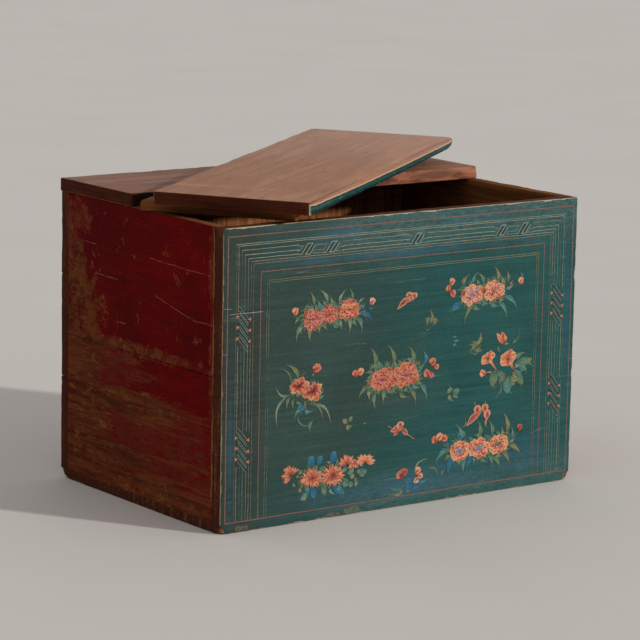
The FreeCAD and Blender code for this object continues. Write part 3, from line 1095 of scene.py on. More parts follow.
class TRUNK_OT_lid(bpy.types.Operator):
    """Model the loose lid with its two battens, lying askew on the rim"""
    bl_idname = "trunk.lid"
    bl_label = "Loose lid"

    def execute(self, context):
        rest = Matrix.Translation(LID_PLACE) @ Euler((0, -LID_TILT, LID_TURN)).to_matrix().to_4x4()
        piece = block("lid_plank", (LID_LEFT, LID_FRONT, LID_LOW), (LID_RIGHT, LID_REAR, LID_HIGH))
        bevel_edges(piece, runs_along(Z_AXIS), LID_CORNER)
        slice_lengths(piece, X_AXIS, LID_LEFT, LID_RIGHT, TOP_CUTS)
        edit(piece)
        bpy.ops.mesh.select_all(action="SELECT")
        bpy.ops.mesh.bisect(plane_co=(0, 0, LID_NOSE), plane_no=(0, 0, 1))
        bpy.ops.mesh.select_all(action="SELECT")
        bpy.ops.mesh.bisect(plane_co=(0, LID_FRONT + NOSE_CUT, 0), plane_no=(0, 1, 0))
        self.shape_nose(piece)
        done()
        ease_edges(piece, lambda edge: LID_EDGE, LID_EDGE)
        chip_edges(piece, 6, sizes().chip_depth, [
            ((LID_LEFT, LID_FRONT, LID_HIGH), 0.018, 0.004), ((LID_RIGHT, LID_FRONT, LID_LOW), 0.05, 0.005),
        ])
        self.lay(piece, rest)
        dress(piece, "lid", "lid_top", ("lid_board",))
        for side, start in (("left", 0.0), ("right", BATTEN_SPACING)):
            end = (start + BATTEN_WIDE, TONGUE_END, LID_LOW)
            batten = block(f"lid_cleat_{side}", (start, BATTEN_FRONT, 0.0), end)
            bevel_edges(batten, self.at_tip, TONGUE_TIP)
            slice_lengths(batten, Y_AXIS, BATTEN_FRONT, TONGUE_END, BATTEN_CUTS)
            ease_edges(batten, lambda edge: BATTEN_EDGE, BATTEN_EDGE)
            chip_edges(batten, 8 + start, BATTEN_CHIP)
            self.lay(batten, rest)
            dress(batten, "lid", "cleat_wood", (f"lid_batten_{side}",))
        return {"FINISHED"}

    def at_tip(self, edge):
        """True for the upper edge at a tongue's end."""
        return runs_along(X_AXIS)(edge) and all(
            vert.co.y > TONGUE_END - SAME_PLACE and vert.co.z > LID_LOW - 0.002 for vert in edge.verts
        )

    def shape_nose(self, piece):
        """Rolls the front edge over: most in mid length at the top, and rising at the right end below."""
        front = LID_FRONT + NOSE_STRIP
        step = (LID_RIGHT - LID_LEFT) / TOP_CUTS
        for k in range(TOP_CUTS + 1):
            x = LID_LEFT + k * step
            bow = math.sin(math.pi * k / TOP_CUTS)
            rise = max(0.0, k / TOP_CUTS - RISE_START) / (1 - RISE_START)
            rows = [
                (LID_HIGH, (0, TOP_ROLL_LEAST + TOP_ROLL_MORE * max(bow, rise * rise), 0)),
                (LID_NOSE, (0, 0, NOSE_RISE * (1 - bow))),
                (LID_LOW, (0, FOOT_ROLL, FOOT_RISE * rise * rise * (3 - 2 * rise))),
            ]
            for level, move in rows:
                pick_corners(piece, lambda co: (
                    co.y < front and abs(co.z - level) < SAME_PLACE and -step / 2 < co.x - x <= step / 2))
                bpy.ops.transform.translate(value=move)

    def lay(self, piece, rest):
        """Lays a piece that was modelled square on the box as the lid lies."""
        pick(piece)
        piece.matrix_world = rest
        settle()


class TRUNK_OT_fastenings(bpy.types.Operator):
    """Finish the nails and the pins, which sit inside the planks"""
    bl_idname = "trunk.fastenings"
    bl_label = "Nails and pins"

    def execute(self, context):
        looks = {"nails": "nail_iron", "pins": "pin_bamboo"}
        for node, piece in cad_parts.items():
            look = looks.get(node.split("_")[-1])
            if look:
                piece.data.materials.clear()
                piece.data.materials.append(finish(look))
        return {"FINISHED"}


# The painted ornament

# Each paint's root, body, rim and tip
PAINTS = {
    "salmon": ((116, 82, 74), (122, 86, 78), (98, 76, 70), (122, 86, 78)),
    "straw": ((118, 110, 88), (124, 114, 92), (92, 94, 80), (124, 114, 92)),
    "cream": ((146, 134, 112), (154, 142, 118), (112, 110, 94), (154, 142, 118)),
    "mist": ((102, 116, 108), (108, 122, 114), (82, 98, 92), (108, 122, 114)),
    "chalk": ((170, 172, 164), (178, 180, 172), (150, 154, 148), (178, 180, 172)),
    "bone": ((136, 140, 124), (144, 148, 132), (104, 114, 104), (144, 148, 132)),
    "shade": ((34, 50, 46), (34, 50, 46), (40, 58, 54), (34, 50, 46)),
    "peach": ((168, 104, 78), (178, 116, 88), (140, 82, 62), (160, 98, 76)),
    "coral": ((108, 30, 26), (164, 74, 52), (200, 136, 106), (192, 122, 94)),
    "rose": ((118, 38, 37), (162, 76, 66), (200, 142, 126), (190, 126, 110)),
    "pink": ((140, 64, 61), (176, 104, 92), (208, 166, 150), (204, 160, 144)),
    "rust": ((78, 26, 24), (126, 48, 37), (182, 108, 84), (172, 96, 74)),
    "amber": ((134, 62, 38), (186, 108, 72), (218, 164, 128), (210, 154, 118)),
    "mauve": ((128, 82, 100), (156, 118, 136), (200, 160, 158), (196, 156, 156)),
    "violet": ((80, 88, 116), (100, 108, 136), (134, 130, 152), (134, 130, 152)),
    "wine": ((96, 30, 32), (114, 38, 36), (128, 50, 44), (128, 50, 44)),
    "wing": ((180, 100, 80), (128, 46, 38), (214, 154, 128), (204, 134, 106)),
    "olive": ((46, 74, 62), (106, 108, 74), (84, 96, 72), (112, 100, 70)),
    "gold": ((62, 80, 60), (128, 118, 76), (102, 102, 70), (122, 104, 70)),
    "leaf": ((40, 78, 70), (88, 114, 86), (66, 98, 82), (108, 112, 82)),
    "sea": ((34, 80, 84), (72, 116, 112), (50, 100, 100), (104, 122, 106)),
    "blue": ((28, 76, 98), (40, 98, 126), (34, 88, 112), (72, 112, 114)),
    "stem": ((66, 82, 66), (96, 100, 74), (74, 88, 68), (102, 96, 70)),
    "pale": ((60, 88, 78), (122, 130, 108), (92, 108, 94), (118, 114, 90)),
    "vein": ((74, 96, 80), (116, 124, 96), (96, 110, 88), (112, 112, 88)),
}


def begin_stamp(name, rim_of):
    """Names a new stamp, and marks how far along the stroke and how near its rim each point lies."""
    stamp = bpy.context.active_object
    stamp.name = name
    settle()
    along = stamp.data.attributes.new("along", "FLOAT", "POINT")
    rim = stamp.data.attributes.new("rim", "FLOAT", "POINT")
    for k, vert in enumerate(stamp.data.vertices):
        along.data[k].value = vert.co.z
        rim.data[k].value = rim_of(vert.co)
    return stamp


def model_stamp(name, widths, leans):
    """A brush stroke modelled once: rooted at the origin, one unit long up Z, and facing the front."""
    rows = len(widths) - 1
    clear_selection()
    bpy.ops.mesh.primitive_grid_add(
        x_subdivisions=STROKE_COLUMNS, y_subdivisions=rows, size=1,
        location=(0, 0, 0.5), rotation=(math.pi / 2, 0, 0),
    )
    stamp = begin_stamp(name, lambda co: abs(co.x) * 2)
    edit(stamp)
    for k, width in enumerate(widths):
        level = k / rows
        pick_corners(stamp, lambda co: abs(co.z - level) < 0.2 / rows)
        bpy.ops.transform.resize(value=(width, 1, 1), center_override=(0, 0, level))
        if leans:
            bpy.ops.transform.translate(value=(leans[k], 0, 0))
    done()
    return thicken(stamp)


def model_disc(name):
    """A round daub modelled once, one unit across, resting on the origin."""
    clear_selection()
    bpy.ops.mesh.primitive_circle_add(
        vertices=DAUB_SIDES, radius=0.5, fill_type="TRIFAN",
        location=(0, 0, 0.5), rotation=(math.pi / 2, 0, 0),
    )
    return thicken(begin_stamp(name, lambda co: (co - Vector((0, 0, 0.5))).length * 2))


def thicken(stamp):
    """Gives a stamp a body one unit thick, half of it on each side."""
    pick(stamp)
    body = stamp.modifiers.new("Paint body", "SOLIDIFY")
    body.thickness = 1.0
    body.offset = 0.0
    body.use_even_offset = False
    bpy.ops.object.modifier_apply(modifier=body.name)
    return stamp


# Columns of a stroke's grid, sides of a daub, and each stamp's widths and leans aside from root to tip
STROKE_COLUMNS, DAUB_SIDES = 6, 14
STAMPS = {
    "petal": ((0.22, 0.55, 0.86, 1.0, 0.92, 0.62, 0.14), None),
    "lobe": ((0.3, 0.62, 0.9, 1.0, 0.98, 0.82, 0.42), None),
    "leaf": ((0.12, 0.24, 0.62, 1.0, 0.86, 0.46, 0.2, 0.05), (0, 0.1, 0.25, 0.32, 0.22, 0.0, -0.35, -0.8)),
    "blade": ((0.35, 0.75, 1.0, 0.95, 0.8, 0.6, 0.38, 0.08), (0, 0.9, 1.6, 1.9, 1.8, 1.2, 0.3, -0.9)),
    "ray": ((0.3, 0.6, 0.95, 1.0, 0.66, 0.06), None),
    "spike": ((1.0, 0.78, 0.54, 0.3, 0.05), None),
    "wing": ((0.2, 0.62, 0.95, 1.0, 0.85, 0.5, 0.12), (0, 0.05, 0.1, 0.1, 0.04, -0.06, -0.2)),
    "tube": ((0.35, 0.4, 0.5, 0.7, 1.0), None),
    "line": ((1.0,) * 41, None),
}


def model_stamps():
    stamps = {name: model_stamp(name, widths, leans) for name, (widths, leans) in STAMPS.items()}
    stamps["daub"] = model_disc("daub")
    return stamps


def clear_stamps(stamps):
    for stamp in stamps.values():
        bpy.data.objects.remove(stamp)


def sway(step, seed):
    """A steady stray between about -1 and 1 for one stroke of a flower."""
    return 1.6 * noise.noise((step * 1.71 + 0.3, seed * 0.137, 5.1))


FULL_TURN = (0.0, 360.0)
FULL_COVER = 0.95
# Shares of a stroke where its body's colour is full, its rim starts, the rim is full and the tip starts
BODY_FULL, RIM_START, RIM_FULL, TIP_START = 0.5, 0.5, 0.35, 0.74
# How much prouder each stroke is than the last, and how finely a hand strays
STROKE_RISE = 0.02
WAVER_SCALE = 45
# How far the petals of a ring stray in turn, in degrees, and in length and width, as shares
TURN_STRAY, LENGTH_STRAY, WIDTH_STRAY = 14, 0.17, 0.15


class Brush:
    """Lays copies of the stamps on the front face, each a little prouder than the last, as one piece."""

    def __init__(self, stamps):
        self.stamps = stamps
        self.laid = []
        self.level = 0

    def stroke(self, kind, start, end, width, paint, cover=FULL_COVER):
        """One stroke from its root to its tip; a negative width mirrors the stamp."""
        stamp = self.stamps[kind]
        copy = stamp.copy()
        copy.data = stamp.data.copy()
        bpy.context.scene.collection.objects.link(copy)
        dx, dz = (end[0] - start[0]) * MM, (end[1] - start[1]) * MM
        self.level += 1
        height = 2 * sizes().paint_height * (1 + STROKE_RISE * self.level)
        copy.matrix_world = (
            Matrix.Translation((start[0] * MM, FRONT_FACE, start[1] * MM))
            @ Matrix.Rotation(math.atan2(dx, dz), 4, "Y")
            @ Matrix.Diagonal((width * MM, height, math.hypot(dx, dz), 1))
        )
        self.tint(copy.data, paint, cover)
        self.laid.append(copy)

    def tint(self, mesh, paint, cover):
        """Colours a stroke from its root to its body and out to its rim."""
        count = len(mesh.vertices)
        along, rim = np.zeros(count), np.zeros(count)
        mesh.attributes["along"].data.foreach_get("value", along)
        mesh.attributes["rim"].data.foreach_get("value", rim)
        root, body, edge, tip = (np.array(ink(*tone)) for tone in PAINTS[paint])
        rise = np.clip(along / BODY_FULL, 0, 1)[:, None]
        out = np.clip((rim - RIM_START) / (1 - RIM_START), 0, 1) * np.clip(along / RIM_FULL, 0, 1)
        out = out[:, None]
        last = np.clip((along - TIP_START) / (1 - TIP_START), 0, 1)[:, None]
        mixed = (root * (1 - rise) + body * rise) * (1 - out) + edge * out
        mixed = mixed * (1 - last) + tip * last
        laid = mesh.attributes.new("paint", "FLOAT_COLOR", "POINT")
        laid.data.foreach_set("color", mixed.astype(np.float32).ravel())
        keep = mesh.attributes.new("cover", "FLOAT", "POINT")
        keep.data.foreach_set("value", [cover] * count)

    def daub(self, x, z, wide, high, paint, cover=FULL_COVER):
        self.stroke("daub", (x, z - high / 2), (x, z + high / 2), wide, paint, cover)

    def line(self, start, end, width, paint, cover):
        self.stroke("line", start, end, width, paint, cover)

    def path(self, points, width, paint, cover):
        for start, end in zip(points, points[1:]):
            self.line(start, end, width, paint, cover)

    def ring(
        self, kind, x, z, wide, high, count, inner, outer, width, paint,
        turn=0.0, arc=FULL_TURN, cover=FULL_COVER,
    ):
        """Strokes that stand round a centre, in an oval, from an inner to an outer share of its size."""
        whole = arc == FULL_TURN
        tones = (paint,) if isinstance(paint, str) else paint
        for k in range(count):
            stray = sway(k, x + z + outer * 40)
            share = k / count if whole else k / max(1, count - 1)
            turned = TURN_STRAY * sway(k, x + inner * 70)
            angle = math.radians(arc[0] + turn + share * (arc[1] - arc[0]) + turned)
            way = (math.sin(angle) * wide / 2, math.cos(angle) * high / 2)
            start = (x + way[0] * inner, z + way[1] * inner)
            reach = outer * (1 + LENGTH_STRAY * stray)
            end = (x + way[0] * reach, z + way[1] * reach)
            tone = tones[(k * 5 + k // 3) % len(tones)]
            self.stroke(kind, start, end, width * (1 + WIDTH_STRAY * stray), tone, cover)

    def join(self, name):
        """Joins what was laid into one piece on the front face."""
        clear_selection()
        for copy in self.laid:
            copy.select_set(True)
        bpy.context.view_layer.objects.active = self.laid[0]
        settle()
        bpy.ops.object.join()
        piece = bpy.context.active_object
        piece.name = name
        piece.data.name = name
        edit(piece)
        bpy.ops.mesh.select_all(action="SELECT")
        bpy.ops.mesh.normals_make_consistent(inside=False)
        done()
        self.waver(piece)
        self.laid = []
        self.level = 0
        dress(piece, "chest", "ornament_paint")

    def waver(self, piece):
        """Lets the strokes stray as a hand does."""
        reach = sizes().hand_waver
        for vert in piece.data.vertices:
            x, z = vert.co.x, vert.co.z
            vert.co.x += reach * noise.noise((x * WAVER_SCALE, 3.1, z * WAVER_SCALE))
            vert.co.z += reach * noise.noise((x * WAVER_SCALE, 8.7, z * WAVER_SCALE))


# The border's lines, from the outside in: half their width, height, paint, thickness and cover
BORDER = [
    (438.5, 588.5, "salmon", 2.4, 0.84), (418.5, 573.0, "mist", 1.2, 0.56),
    (413.5, 569.5, "cream", 1.2, 0.62), (405.5, 560.5, "mist", 1.2, 0.54),
    (398.5, 551.0, "mist", 1.2, 0.68), (390.5, 543.0, "mist", 1.2, 0.68),
    (384.0, 537.0, "cream", 1.1, 0.58), (378.0, 532.0, "straw", 1.2, 0.62),
    (360.5, 515.0, "salmon", 2.0, 0.78), (345.5, 497.0, "straw", 1.2, 0.62),
    (340.5, 493.0, "straw", 1.2, 0.60),
]
# How much cover the left lines keep and the top ones gain; height and cover of the line at the foot
LEFT_KEPT, TOP_GAIN = 0.92, 0.08
BORDER_FOOT, FOOT_COVER = 22.0, 0.78
# Frets in the top border: start and number of keys, the keys' spacing, and the levels of the lines
FRETS = [(-264.0, 2), (8.0, 1), (229.0, 2)]
FRET_STEP = 59.0
FRET_LEVELS = (541.7, 549.5, 558.0)
# How far before a fret its gap in the lines starts, and how far short of its last step the gap ends
FRET_LEAD, FRET_SHORT = 6, 18
# Motifs in the side borders: side and height
MOTIFS = [(-1, 407.0), (-1, 167.0), (1, 384.0), (1, 191.0)]
MOTIF_MIDDLE, MOTIF_REACH = 400.0, 34
# The lines that stop at a motif, by half their width, and those that stop at a fret, by their height
MOTIF_LINES, FRET_LINES = range(381, 415), range(541, 565)
# Pale scratches across the front, by both ends, and a pale speck
FRONT_SCRATCHES = [
    (-433, 437.5, -355, 436), (-447, 449, -430, 448), (-449, 360, -440, 359), (432, 262, 449, 263),
]
FRONT_SPECK = (-100, 185, 2.6, 2.6)


class TRUNK_OT_border(bpy.types.Operator):
    """Paint the border lines, the frets and the side motifs on the front"""
    bl_idname = "trunk.border"
    bl_label = "Border"

    def execute(self, context):
        stamps = model_stamps()
        brush = Brush(stamps)
        for x, z, paint, width, cover in BORDER:
            for side in (-1, 1):
                gaps = [centre for way, centre in MOTIFS if way == side] if int(x) in MOTIF_LINES else []
                gaps = [(centre - MOTIF_REACH, centre + MOTIF_REACH) for centre in gaps]
                kept = cover * (LEFT_KEPT if side < 0 else 1.0)
                self.broken(brush, (side * x, BORDER_FOOT), (side * x, z), 1, gaps, width, paint, kept)
            frets = FRETS if int(z) in FRET_LINES else []
            gaps = [(a - FRET_LEAD, a + FRET_STEP * keys - FRET_SHORT) for a, keys in frets]
            top_paint = "bone" if paint == "mist" else paint
            self.broken(brush, (-x, z), (x, z), 0, gaps, width, top_paint, cover + TOP_GAIN)
        x, _, paint, width, _ = BORDER[0]
        brush.line((-x, BORDER_FOOT), (x, BORDER_FOOT), width, paint, FOOT_COVER)
        for x0, z0, x1, z1 in FRONT_SCRATCHES:
            brush.line((x0, z0), (x1, z1), 0.9, "chalk", 0.58)
        brush.daub(*FRONT_SPECK, "chalk")
        brush.join("border_lines")
        for start, keys in FRETS:
            self.fret(brush, start, keys)
        brush.join("border_frets")
        for side, level in MOTIFS:
            self.motif(brush, side, level)
        brush.join("border_motifs")
        clear_stamps(stamps)
        return {"FINISHED"}

    def broken(self, brush, start, end, axis, gaps, width, paint, cover):
        """A line that leaves out the stretches between some levels."""
        level = start[axis]
        for low, high in sorted(gaps) + [(end[axis], None)]:
            a, b = list(start), list(start)
            a[axis], b[axis] = level, low
            b[1 - axis] = end[1 - axis]
            brush.line(a, b, width, paint, cover)
            level = high

    def fret(self, brush, start, keys):
        """Slanted keys in the top border, between two closed line ends."""
        low, middle, high = FRET_LEVELS
        left_end = [(start - 12, middle), (start - 4, middle), (start + 4, high), (start - 8, high)]
        brush.path(left_end, 1.5, "mist", 0.74)
        for k in range(keys):
            x = start + k * FRET_STEP
            for off in (10, 20):
                brush.line((x + off - 4, 543.5), (x + off + 8, 559.0), 2.4, "shade", 0.85)
            key = [
                (x - 6, low), (x, low), (x + 15, 561.8), (x + 27, 561.5),
                (x + 9, 541.0), (x + 20, 540.8), (x + 33, high),
            ]
            brush.path(key, 1.5, "bone", 0.78)
            if k < keys - 1:
                tie = [
                    (x + 33, high), (x + 61, high), (x + 54, 547.5),
                    (x + 32, 547.5), (x + 27, low), (x + 59, low),
                ]
                brush.path(tie, 1.5, "mist", 0.74)
        end = start + (keys - 1) * FRET_STEP + 24
        right_end = [(end + 20, middle), (end + 8, middle), (end, low), (end + 20, low)]
        brush.path(right_end, 1.5, "mist", 0.78)

    def motif(self, brush, side, level):
        """Slanted bands with pale edges, and three triangles on each side of them."""
        middle = side * MOTIF_MIDDLE
        for k in range(5):
            z = level + 28 - k * 14.5
            top, low = (middle - 11, z + 12), (middle + 11, z - 14)
            brush.line(top, low, 5.0, "shade", FULL_COVER)
            for off in (-4.6, 4.6):
                brush.line((top[0], top[1] + off), (low[0], low[1] + off), 1.2, "mist", 0.80)
        for rises in ((24, 17), (3, -5), (-19, -27)):
            for way, rise in zip((-1, 1), rises):
                base, tip = (middle + way * 17.0, level + rise), (middle + way * 10.0, level + rise)
                brush.stroke("spike", base, tip, 8.0, "peach", 0.82)


# Leaves of each spray, in millimetres: root, tip, width, paint, and the stamp where it isn't the leaf
LEAVES = {
    "spray_high_left": [
        (-232, 432, -238, 468, 7, "olive"), (-196, 434, -213, 471, 7, "pale"),
        (-172, 430, -157, 466, -6, "pale"), (-138, 434, -140, 465, 6, "leaf"),
        (-192, 430, -188, 453, 9, "leaf"), (-122, 428, -109, 445, -5, "pale"),
        (-256, 416, -246, 448, -6, "stem"), (-222, 428, -219, 448, 9, "sea"),
        (-206, 432, -208, 448, 7, "leaf"), (-152, 436, -144, 450, 6, "sea"),
        (-252, 404, -280, 374, 9, "leaf"), (-258, 398, -266, 384, 7, "pale"),
        (-232, 398, -246, 368, 9, "gold"), (-212, 402, -222, 380, 8, "olive"),
        (-206, 402, -200, 382, 6, "olive"), (-178, 408, -168, 386, 9, "leaf"),
        (-174, 406, -160, 384, -6, "pale"), (-152, 406, -137, 376, -8, "pale"),
        (-186, 400, -172, 384, 6, "sea"), (-133, 406, -128, 384, 8, "leaf"),
        (-130, 408, -106, 376, -9, "sea"), (-120, 414, -97, 403, -9, "sea"),
        (-114, 412, -85, 398, -7, "blue"), (-264, 414, -281, 407, 7, "leaf"),
        (-118, 422, -104, 428, 6, "sea"), (-99, 422, -82, 417, 5, "blue"),
    ],
    "spray_high_right": [
        (146, 438, 155, 470, -10, "olive"), (172, 440, 178, 471, -7, "sea"),
        (203, 436, 188, 472, 8, "leaf"), (206, 440, 213, 456, 6, "olive"), (236, 440, 236, 478, 9, "gold"),
        (250, 430, 249, 458, 10, "gold"), (262, 436, 266, 469, 7, "olive"), (256, 430, 282, 432, 7, "pale"),
        (266, 440, 280, 440, 7, "gold"), (222, 440, 228, 456, 8, "olive"), (184, 440, 182, 456, 7, "olive"),
        (140, 432, 132, 440, 6, "leaf"), (244, 430, 262, 452, 8, "olive"), (300, 448, 301, 460, 6, "sea"),
        (152, 404, 106, 402, 10, "blue"), (142, 398, 112, 396, 6, "sea"), (180, 408, 145, 370, 8, "olive"),
        (176, 404, 190, 386, 9, "leaf"), (170, 404, 156, 390, 7, "leaf"), (196, 414, 212, 396, 12, "sea"),
        (220, 408, 238, 388, 10, "sea"), (234, 406, 270, 374, -9, "sea"), (246, 416, 296, 392, -10, "sea"),
        (244, 412, 254, 402, 9, "gold"), (252, 426, 266, 430, 9, "blue"),
    ],
    "spray_middle_left": [
        (-262, 288, -290, 330, 9, "olive"), (-284, 282, -312, 322, 4, "stem", "blade"),
        (-284, 264, -324, 280, -4, "pale", "blade"), (-290, 264, -322, 206, 5, "pale", "blade"),
        (-284, 262, -298, 236, 7, "stem"), (-274, 258, -282, 234, 6, "olive"),
        (-244, 232, -278, 226, 14, "sea"), (-254, 240, -262, 220, 8, "blue"),
        (-252, 232, -234, 220, 8, "sea"), (-268, 224, -238, 192, 4, "leaf", "blade"),
        (-228, 208, -241, 184, 7, "leaf"), (-246, 240, -202, 208, -5, "olive", "blade"),
        (-232, 238, -182, 200, -5, "pale", "blade"), (-272, 252, -258, 240, 6, "leaf"),
        (-244, 250, -252, 230, 6, "olive"), (-236, 296, -226, 302, 5, "leaf"),
        (-218, 254, -202, 250, 6, "leaf"), (-262, 300, -256, 312, 3, "stem", "blade"),
    ],
    "spray_middle": [
        (-78, 292, -80, 340, 10, "olive"), (-62, 296, -92, 300, 11, "leaf"),
        (-70, 290, -66, 312, 9, "leaf"), (-26, 292, -38, 342, 9, "olive"), (-30, 288, -26, 308, 11, "leaf"),
        (-18, 290, -14, 306, 8, "olive"), (20, 288, 17, 334, 10, "olive"), (18, 290, 6, 312, 12, "leaf"),
        (14, 292, 26, 306, 9, "sea"), (50, 286, 53, 320, 9, "sea"), (46, 292, 56, 306, 8, "blue"),
        (30, 284, 52, 290, 8, "leaf"), (28, 292, 40, 298, 6, "olive"), (-50, 294, -44, 308, 7, "olive"),
        (-84, 262, -122, 242, 9, "stem"), (-88, 276, -96, 262, 8, "leaf"), (-84, 254, -94, 232, 9, "pale"),
        (-70, 250, -81, 212, 10, "leaf"), (-56, 250, -47, 228, 8, "olive"),
        (-28, 254, -27, 236, 10, "leaf"), (-16, 242, 8, 222, 8, "olive"), (8, 246, 36, 212, -9, "olive"),
        (18, 256, 34, 238, 9, "sea"), (32, 256, 64, 220, -10, "sea"), (28, 262, 44, 248, 8, "leaf"),
        (-46, 248, -58, 222, 6, "pale"), (0, 250, 6, 236, 8, "leaf"), (30, 270, 46, 272, 7, "sea"),
    ],
    "spray_middle_right": [
        (238, 260, 230, 226, 20, "leaf", "petal"), (272, 244, 272, 206, 21, "sea", "petal"),
        (290, 254, 313, 222, 17, "leaf", "petal"), (290, 266, 336, 272, 16, "leaf", "petal"),
        (264, 252, 250, 230, 13, "olive", "petal"), (284, 250, 300, 236, 13, "gold", "petal"),
        (248, 256, 258, 242, 12, "sea", "petal"), (300, 262, 322, 252, 12, "sea", "petal"),
        (278, 236, 290, 222, 12, "leaf", "petal"), (294, 272, 311, 294, -11, "leaf"),
        (290, 266, 341, 268, -13, "leaf"), (298, 262, 326, 252, -11, "sea"),
        (290, 270, 306, 258, 9, "pale"), (244, 256, 226, 224, 14, "leaf"), (246, 250, 236, 232, 8, "olive"),
        (244, 258, 258, 244, 11, "sea"), (274, 244, 271, 204, 15, "sea"), (280, 240, 266, 226, 9, "leaf"),
        (278, 244, 302, 226, 10, "gold"), (292, 244, 316, 218, -10, "leaf"),
        (264, 250, 248, 230, 7, "olive"), (252, 236, 240, 198, -4, "olive", "blade"),
        (286, 258, 310, 244, 9, "sea"), (282, 262, 302, 240, 2.0, "stem", "line"),
        (238, 262, 262, 244, 2.0, "stem", "line"), (262, 314, 278, 286, 1.6, "stem", "line"),
        (246, 312, 246, 294, 5, "olive"), (262, 318, 270, 308, 6, "pale"),
        (280, 308, 302, 342, 2.6, "stem", "blade"), (282, 312, 291, 318, 4, "pale"),
    ],
    "spray_low_left": [
        (-233, 110, -231, 133, 15, "blue", "lobe"), (-212, 112, -209, 131, 13, "blue", "lobe"),
        (-179, 112, -175, 136, 14, "blue", "lobe"), (-186, 108, -192, 120, 9, "sea"),
        (-172, 108, -164, 120, 8, "sea"), (-222, 106, -218, 114, 7, "leaf"),
        (-246, 76, -236, 58, 10, "sea", "petal"), (-226, 70, -224, 46, 14, "blue", "petal"),
        (-236, 62, -256, 46, 12, "sea", "petal"), (-180, 68, -148, 46, 15, "blue", "petal"),
        (-202, 70, -196, 50, 13, "leaf", "petal"), (-186, 66, -174, 44, 6, "pale"),
        (-152, 78, -138, 64, 10, "leaf", "petal"), (-150, 90, -146, 98, 8, "leaf", "petal"),
        (-142, 84, -128, 92, 9, "leaf", "petal"), (-136, 78, -122, 80, 9, "pale", "petal"),
        (-118, 86, -92, 86, 11, "leaf", "petal"), (-140, 70, -146, 60, 9, "leaf", "petal"),
        (-124, 74, -116, 68, 8, "olive", "petal"), (-112, 80, -98, 78, 7, "gold", "petal"),
        (-126, 66, -132, 60, 7, "leaf", "petal"), (-262, 72, -256, 62, 6, "gold", "petal"),
        (-278, 84, -270, 76, 6, "olive", "petal"), (-264, 100, -256, 108, 7, "leaf", "petal"),
        (-268, 92, -262, 98, 6, "olive", "petal"), (-250, 56, -246, 44, 9, "pale", "petal"),
        (-152, 100, -144, 92, 10, "sea", "lobe"), (-134, 98, -128, 86, 9, "pale", "lobe"),
        (-108, 92, -116, 84, 9, "leaf", "lobe"), (-150, 74, -146, 60, 12, "sea", "lobe"),
        (-136, 70, -130, 58, 10, "leaf", "lobe"), (-122, 66, -116, 60, 8, "pale", "lobe"),
        (-106, 88, -94, 82, 10, "sea", "lobe"), (-158, 66, -164, 54, 9, "sea", "lobe"),
        (-262, 108, -256, 100, 9, "leaf", "lobe"),
    ],
    "spray_low_middle": [
        (30, 44, 2, 52, 11, "blue"), (28, 42, 60, 47, -12, "blue"), (26, 46, 6, 28, 12, "blue"),
        (30, 44, 42, 30, 10, "blue"), (34, 46, 68, 46, 5, "sea"), (14, 62, 18, 50, 6, "blue"),
        (30, 62, 62, 95, -4, "pale", "blade"), (62, 70, 95, 54, -4, "olive", "blade"),
        (8, 48, -34, 42, -4, "sea", "blade"), (2, 42, -24, 24, -4, "pale", "blade"),
        (6, 40, -40, 30, -3.5, "stem", "blade"), (2, 36, -4, 24, 7, "olive"), (14, 36, 18, 26, 6, "leaf"),
        (2, 58, 14, 46, 1.8, "stem", "line"), (36, 48, 30, 44, 1.8, "stem", "line"),
    ],
    "spray_low_right": [
        (146, 116, 151, 154, 16, "sea"), (140, 116, 144, 142, 10, "blue"),
        (148, 146, 161, 170, 4, "olive", "blade"), (196, 116, 203, 158, 11, "leaf"),
        (204, 116, 188, 132, 9, "leaf"), (232, 116, 232, 154, 9, "leaf"), (274, 116, 271, 168, 10, "gold"),
        (256, 116, 264, 136, 8, "gold"), (286, 104, 291, 134, 8, "sea"), (178, 112, 172, 128, 8, "sea"),
        (222, 114, 218, 126, 7, "sea"), (280, 114, 268, 126, 7, "olive"), (126, 108, 80, 87, 11, "sea"),
        (124, 110, 104, 118, 8, "blue"), (126, 94, 106, 82, 8, "stem"), (138, 86, 110, 56, 13, "blue"),
        (132, 84, 118, 78, 9, "blue"), (150, 82, 148, 66, 9, "sea"), (168, 84, 154, 50, 9, "sea"),
        (192, 80, 160, 62, 11, "blue"), (196, 78, 182, 68, 8, "sea"), (206, 82, 218, 62, 9, "leaf"),
        (220, 84, 242, 58, -11, "leaf"), (230, 80, 264, 50, -9, "leaf"), (254, 86, 290, 58, -10, "olive"),
        (272, 96, 318, 78, -9, "gold"), (248, 84, 258, 70, 9, "gold"), (278, 104, 298, 106, 7, "pale"),
        (96, 122, 126, 104, 1.6, "stem", "line"), (306, 122, 282, 100, 1.6, "stem", "line"),
        (112, 64, 108, 48, 4, "gold", "blade"),
    ],
    "sprigs": [
        (64, 376, 66, 404, 6, "olive"), (64, 378, 49, 388, 6, "olive"), (66, 378, 85, 380, -6, "gold"),
        (58, 374, 50, 370, 5, "stem"), (68, 374, 76, 370, 5, "stem"),
        (48, 366, 64, 366, 2.5, "stem", "blade"), (184, 314, 202, 342, 8, "gold"),
        (182, 314, 177, 328, 9, "olive"), (180, 312, 168, 322, 6, "olive"),
        (178, 308, 200, 312, 6, "olive"), (168, 304, 198, 306, 3, "stem", "blade"),
        (174, 312, 169, 300, 5, "stem"), (123, 331, 137, 331, 4.5, "sea", "petal"),
        (121, 339, 132, 340, 4, "sea", "petal"), (121, 324, 132, 323, 4.5, "sea", "petal"),
        (180, 312, 200, 330, 7, "gold", "petal"), (170, 306, 184, 318, 7, "olive", "petal"),
        (176, 306, 200, 304, 6, "olive", "petal"), (112, 224, 121, 234, 8, "pale", "petal"),
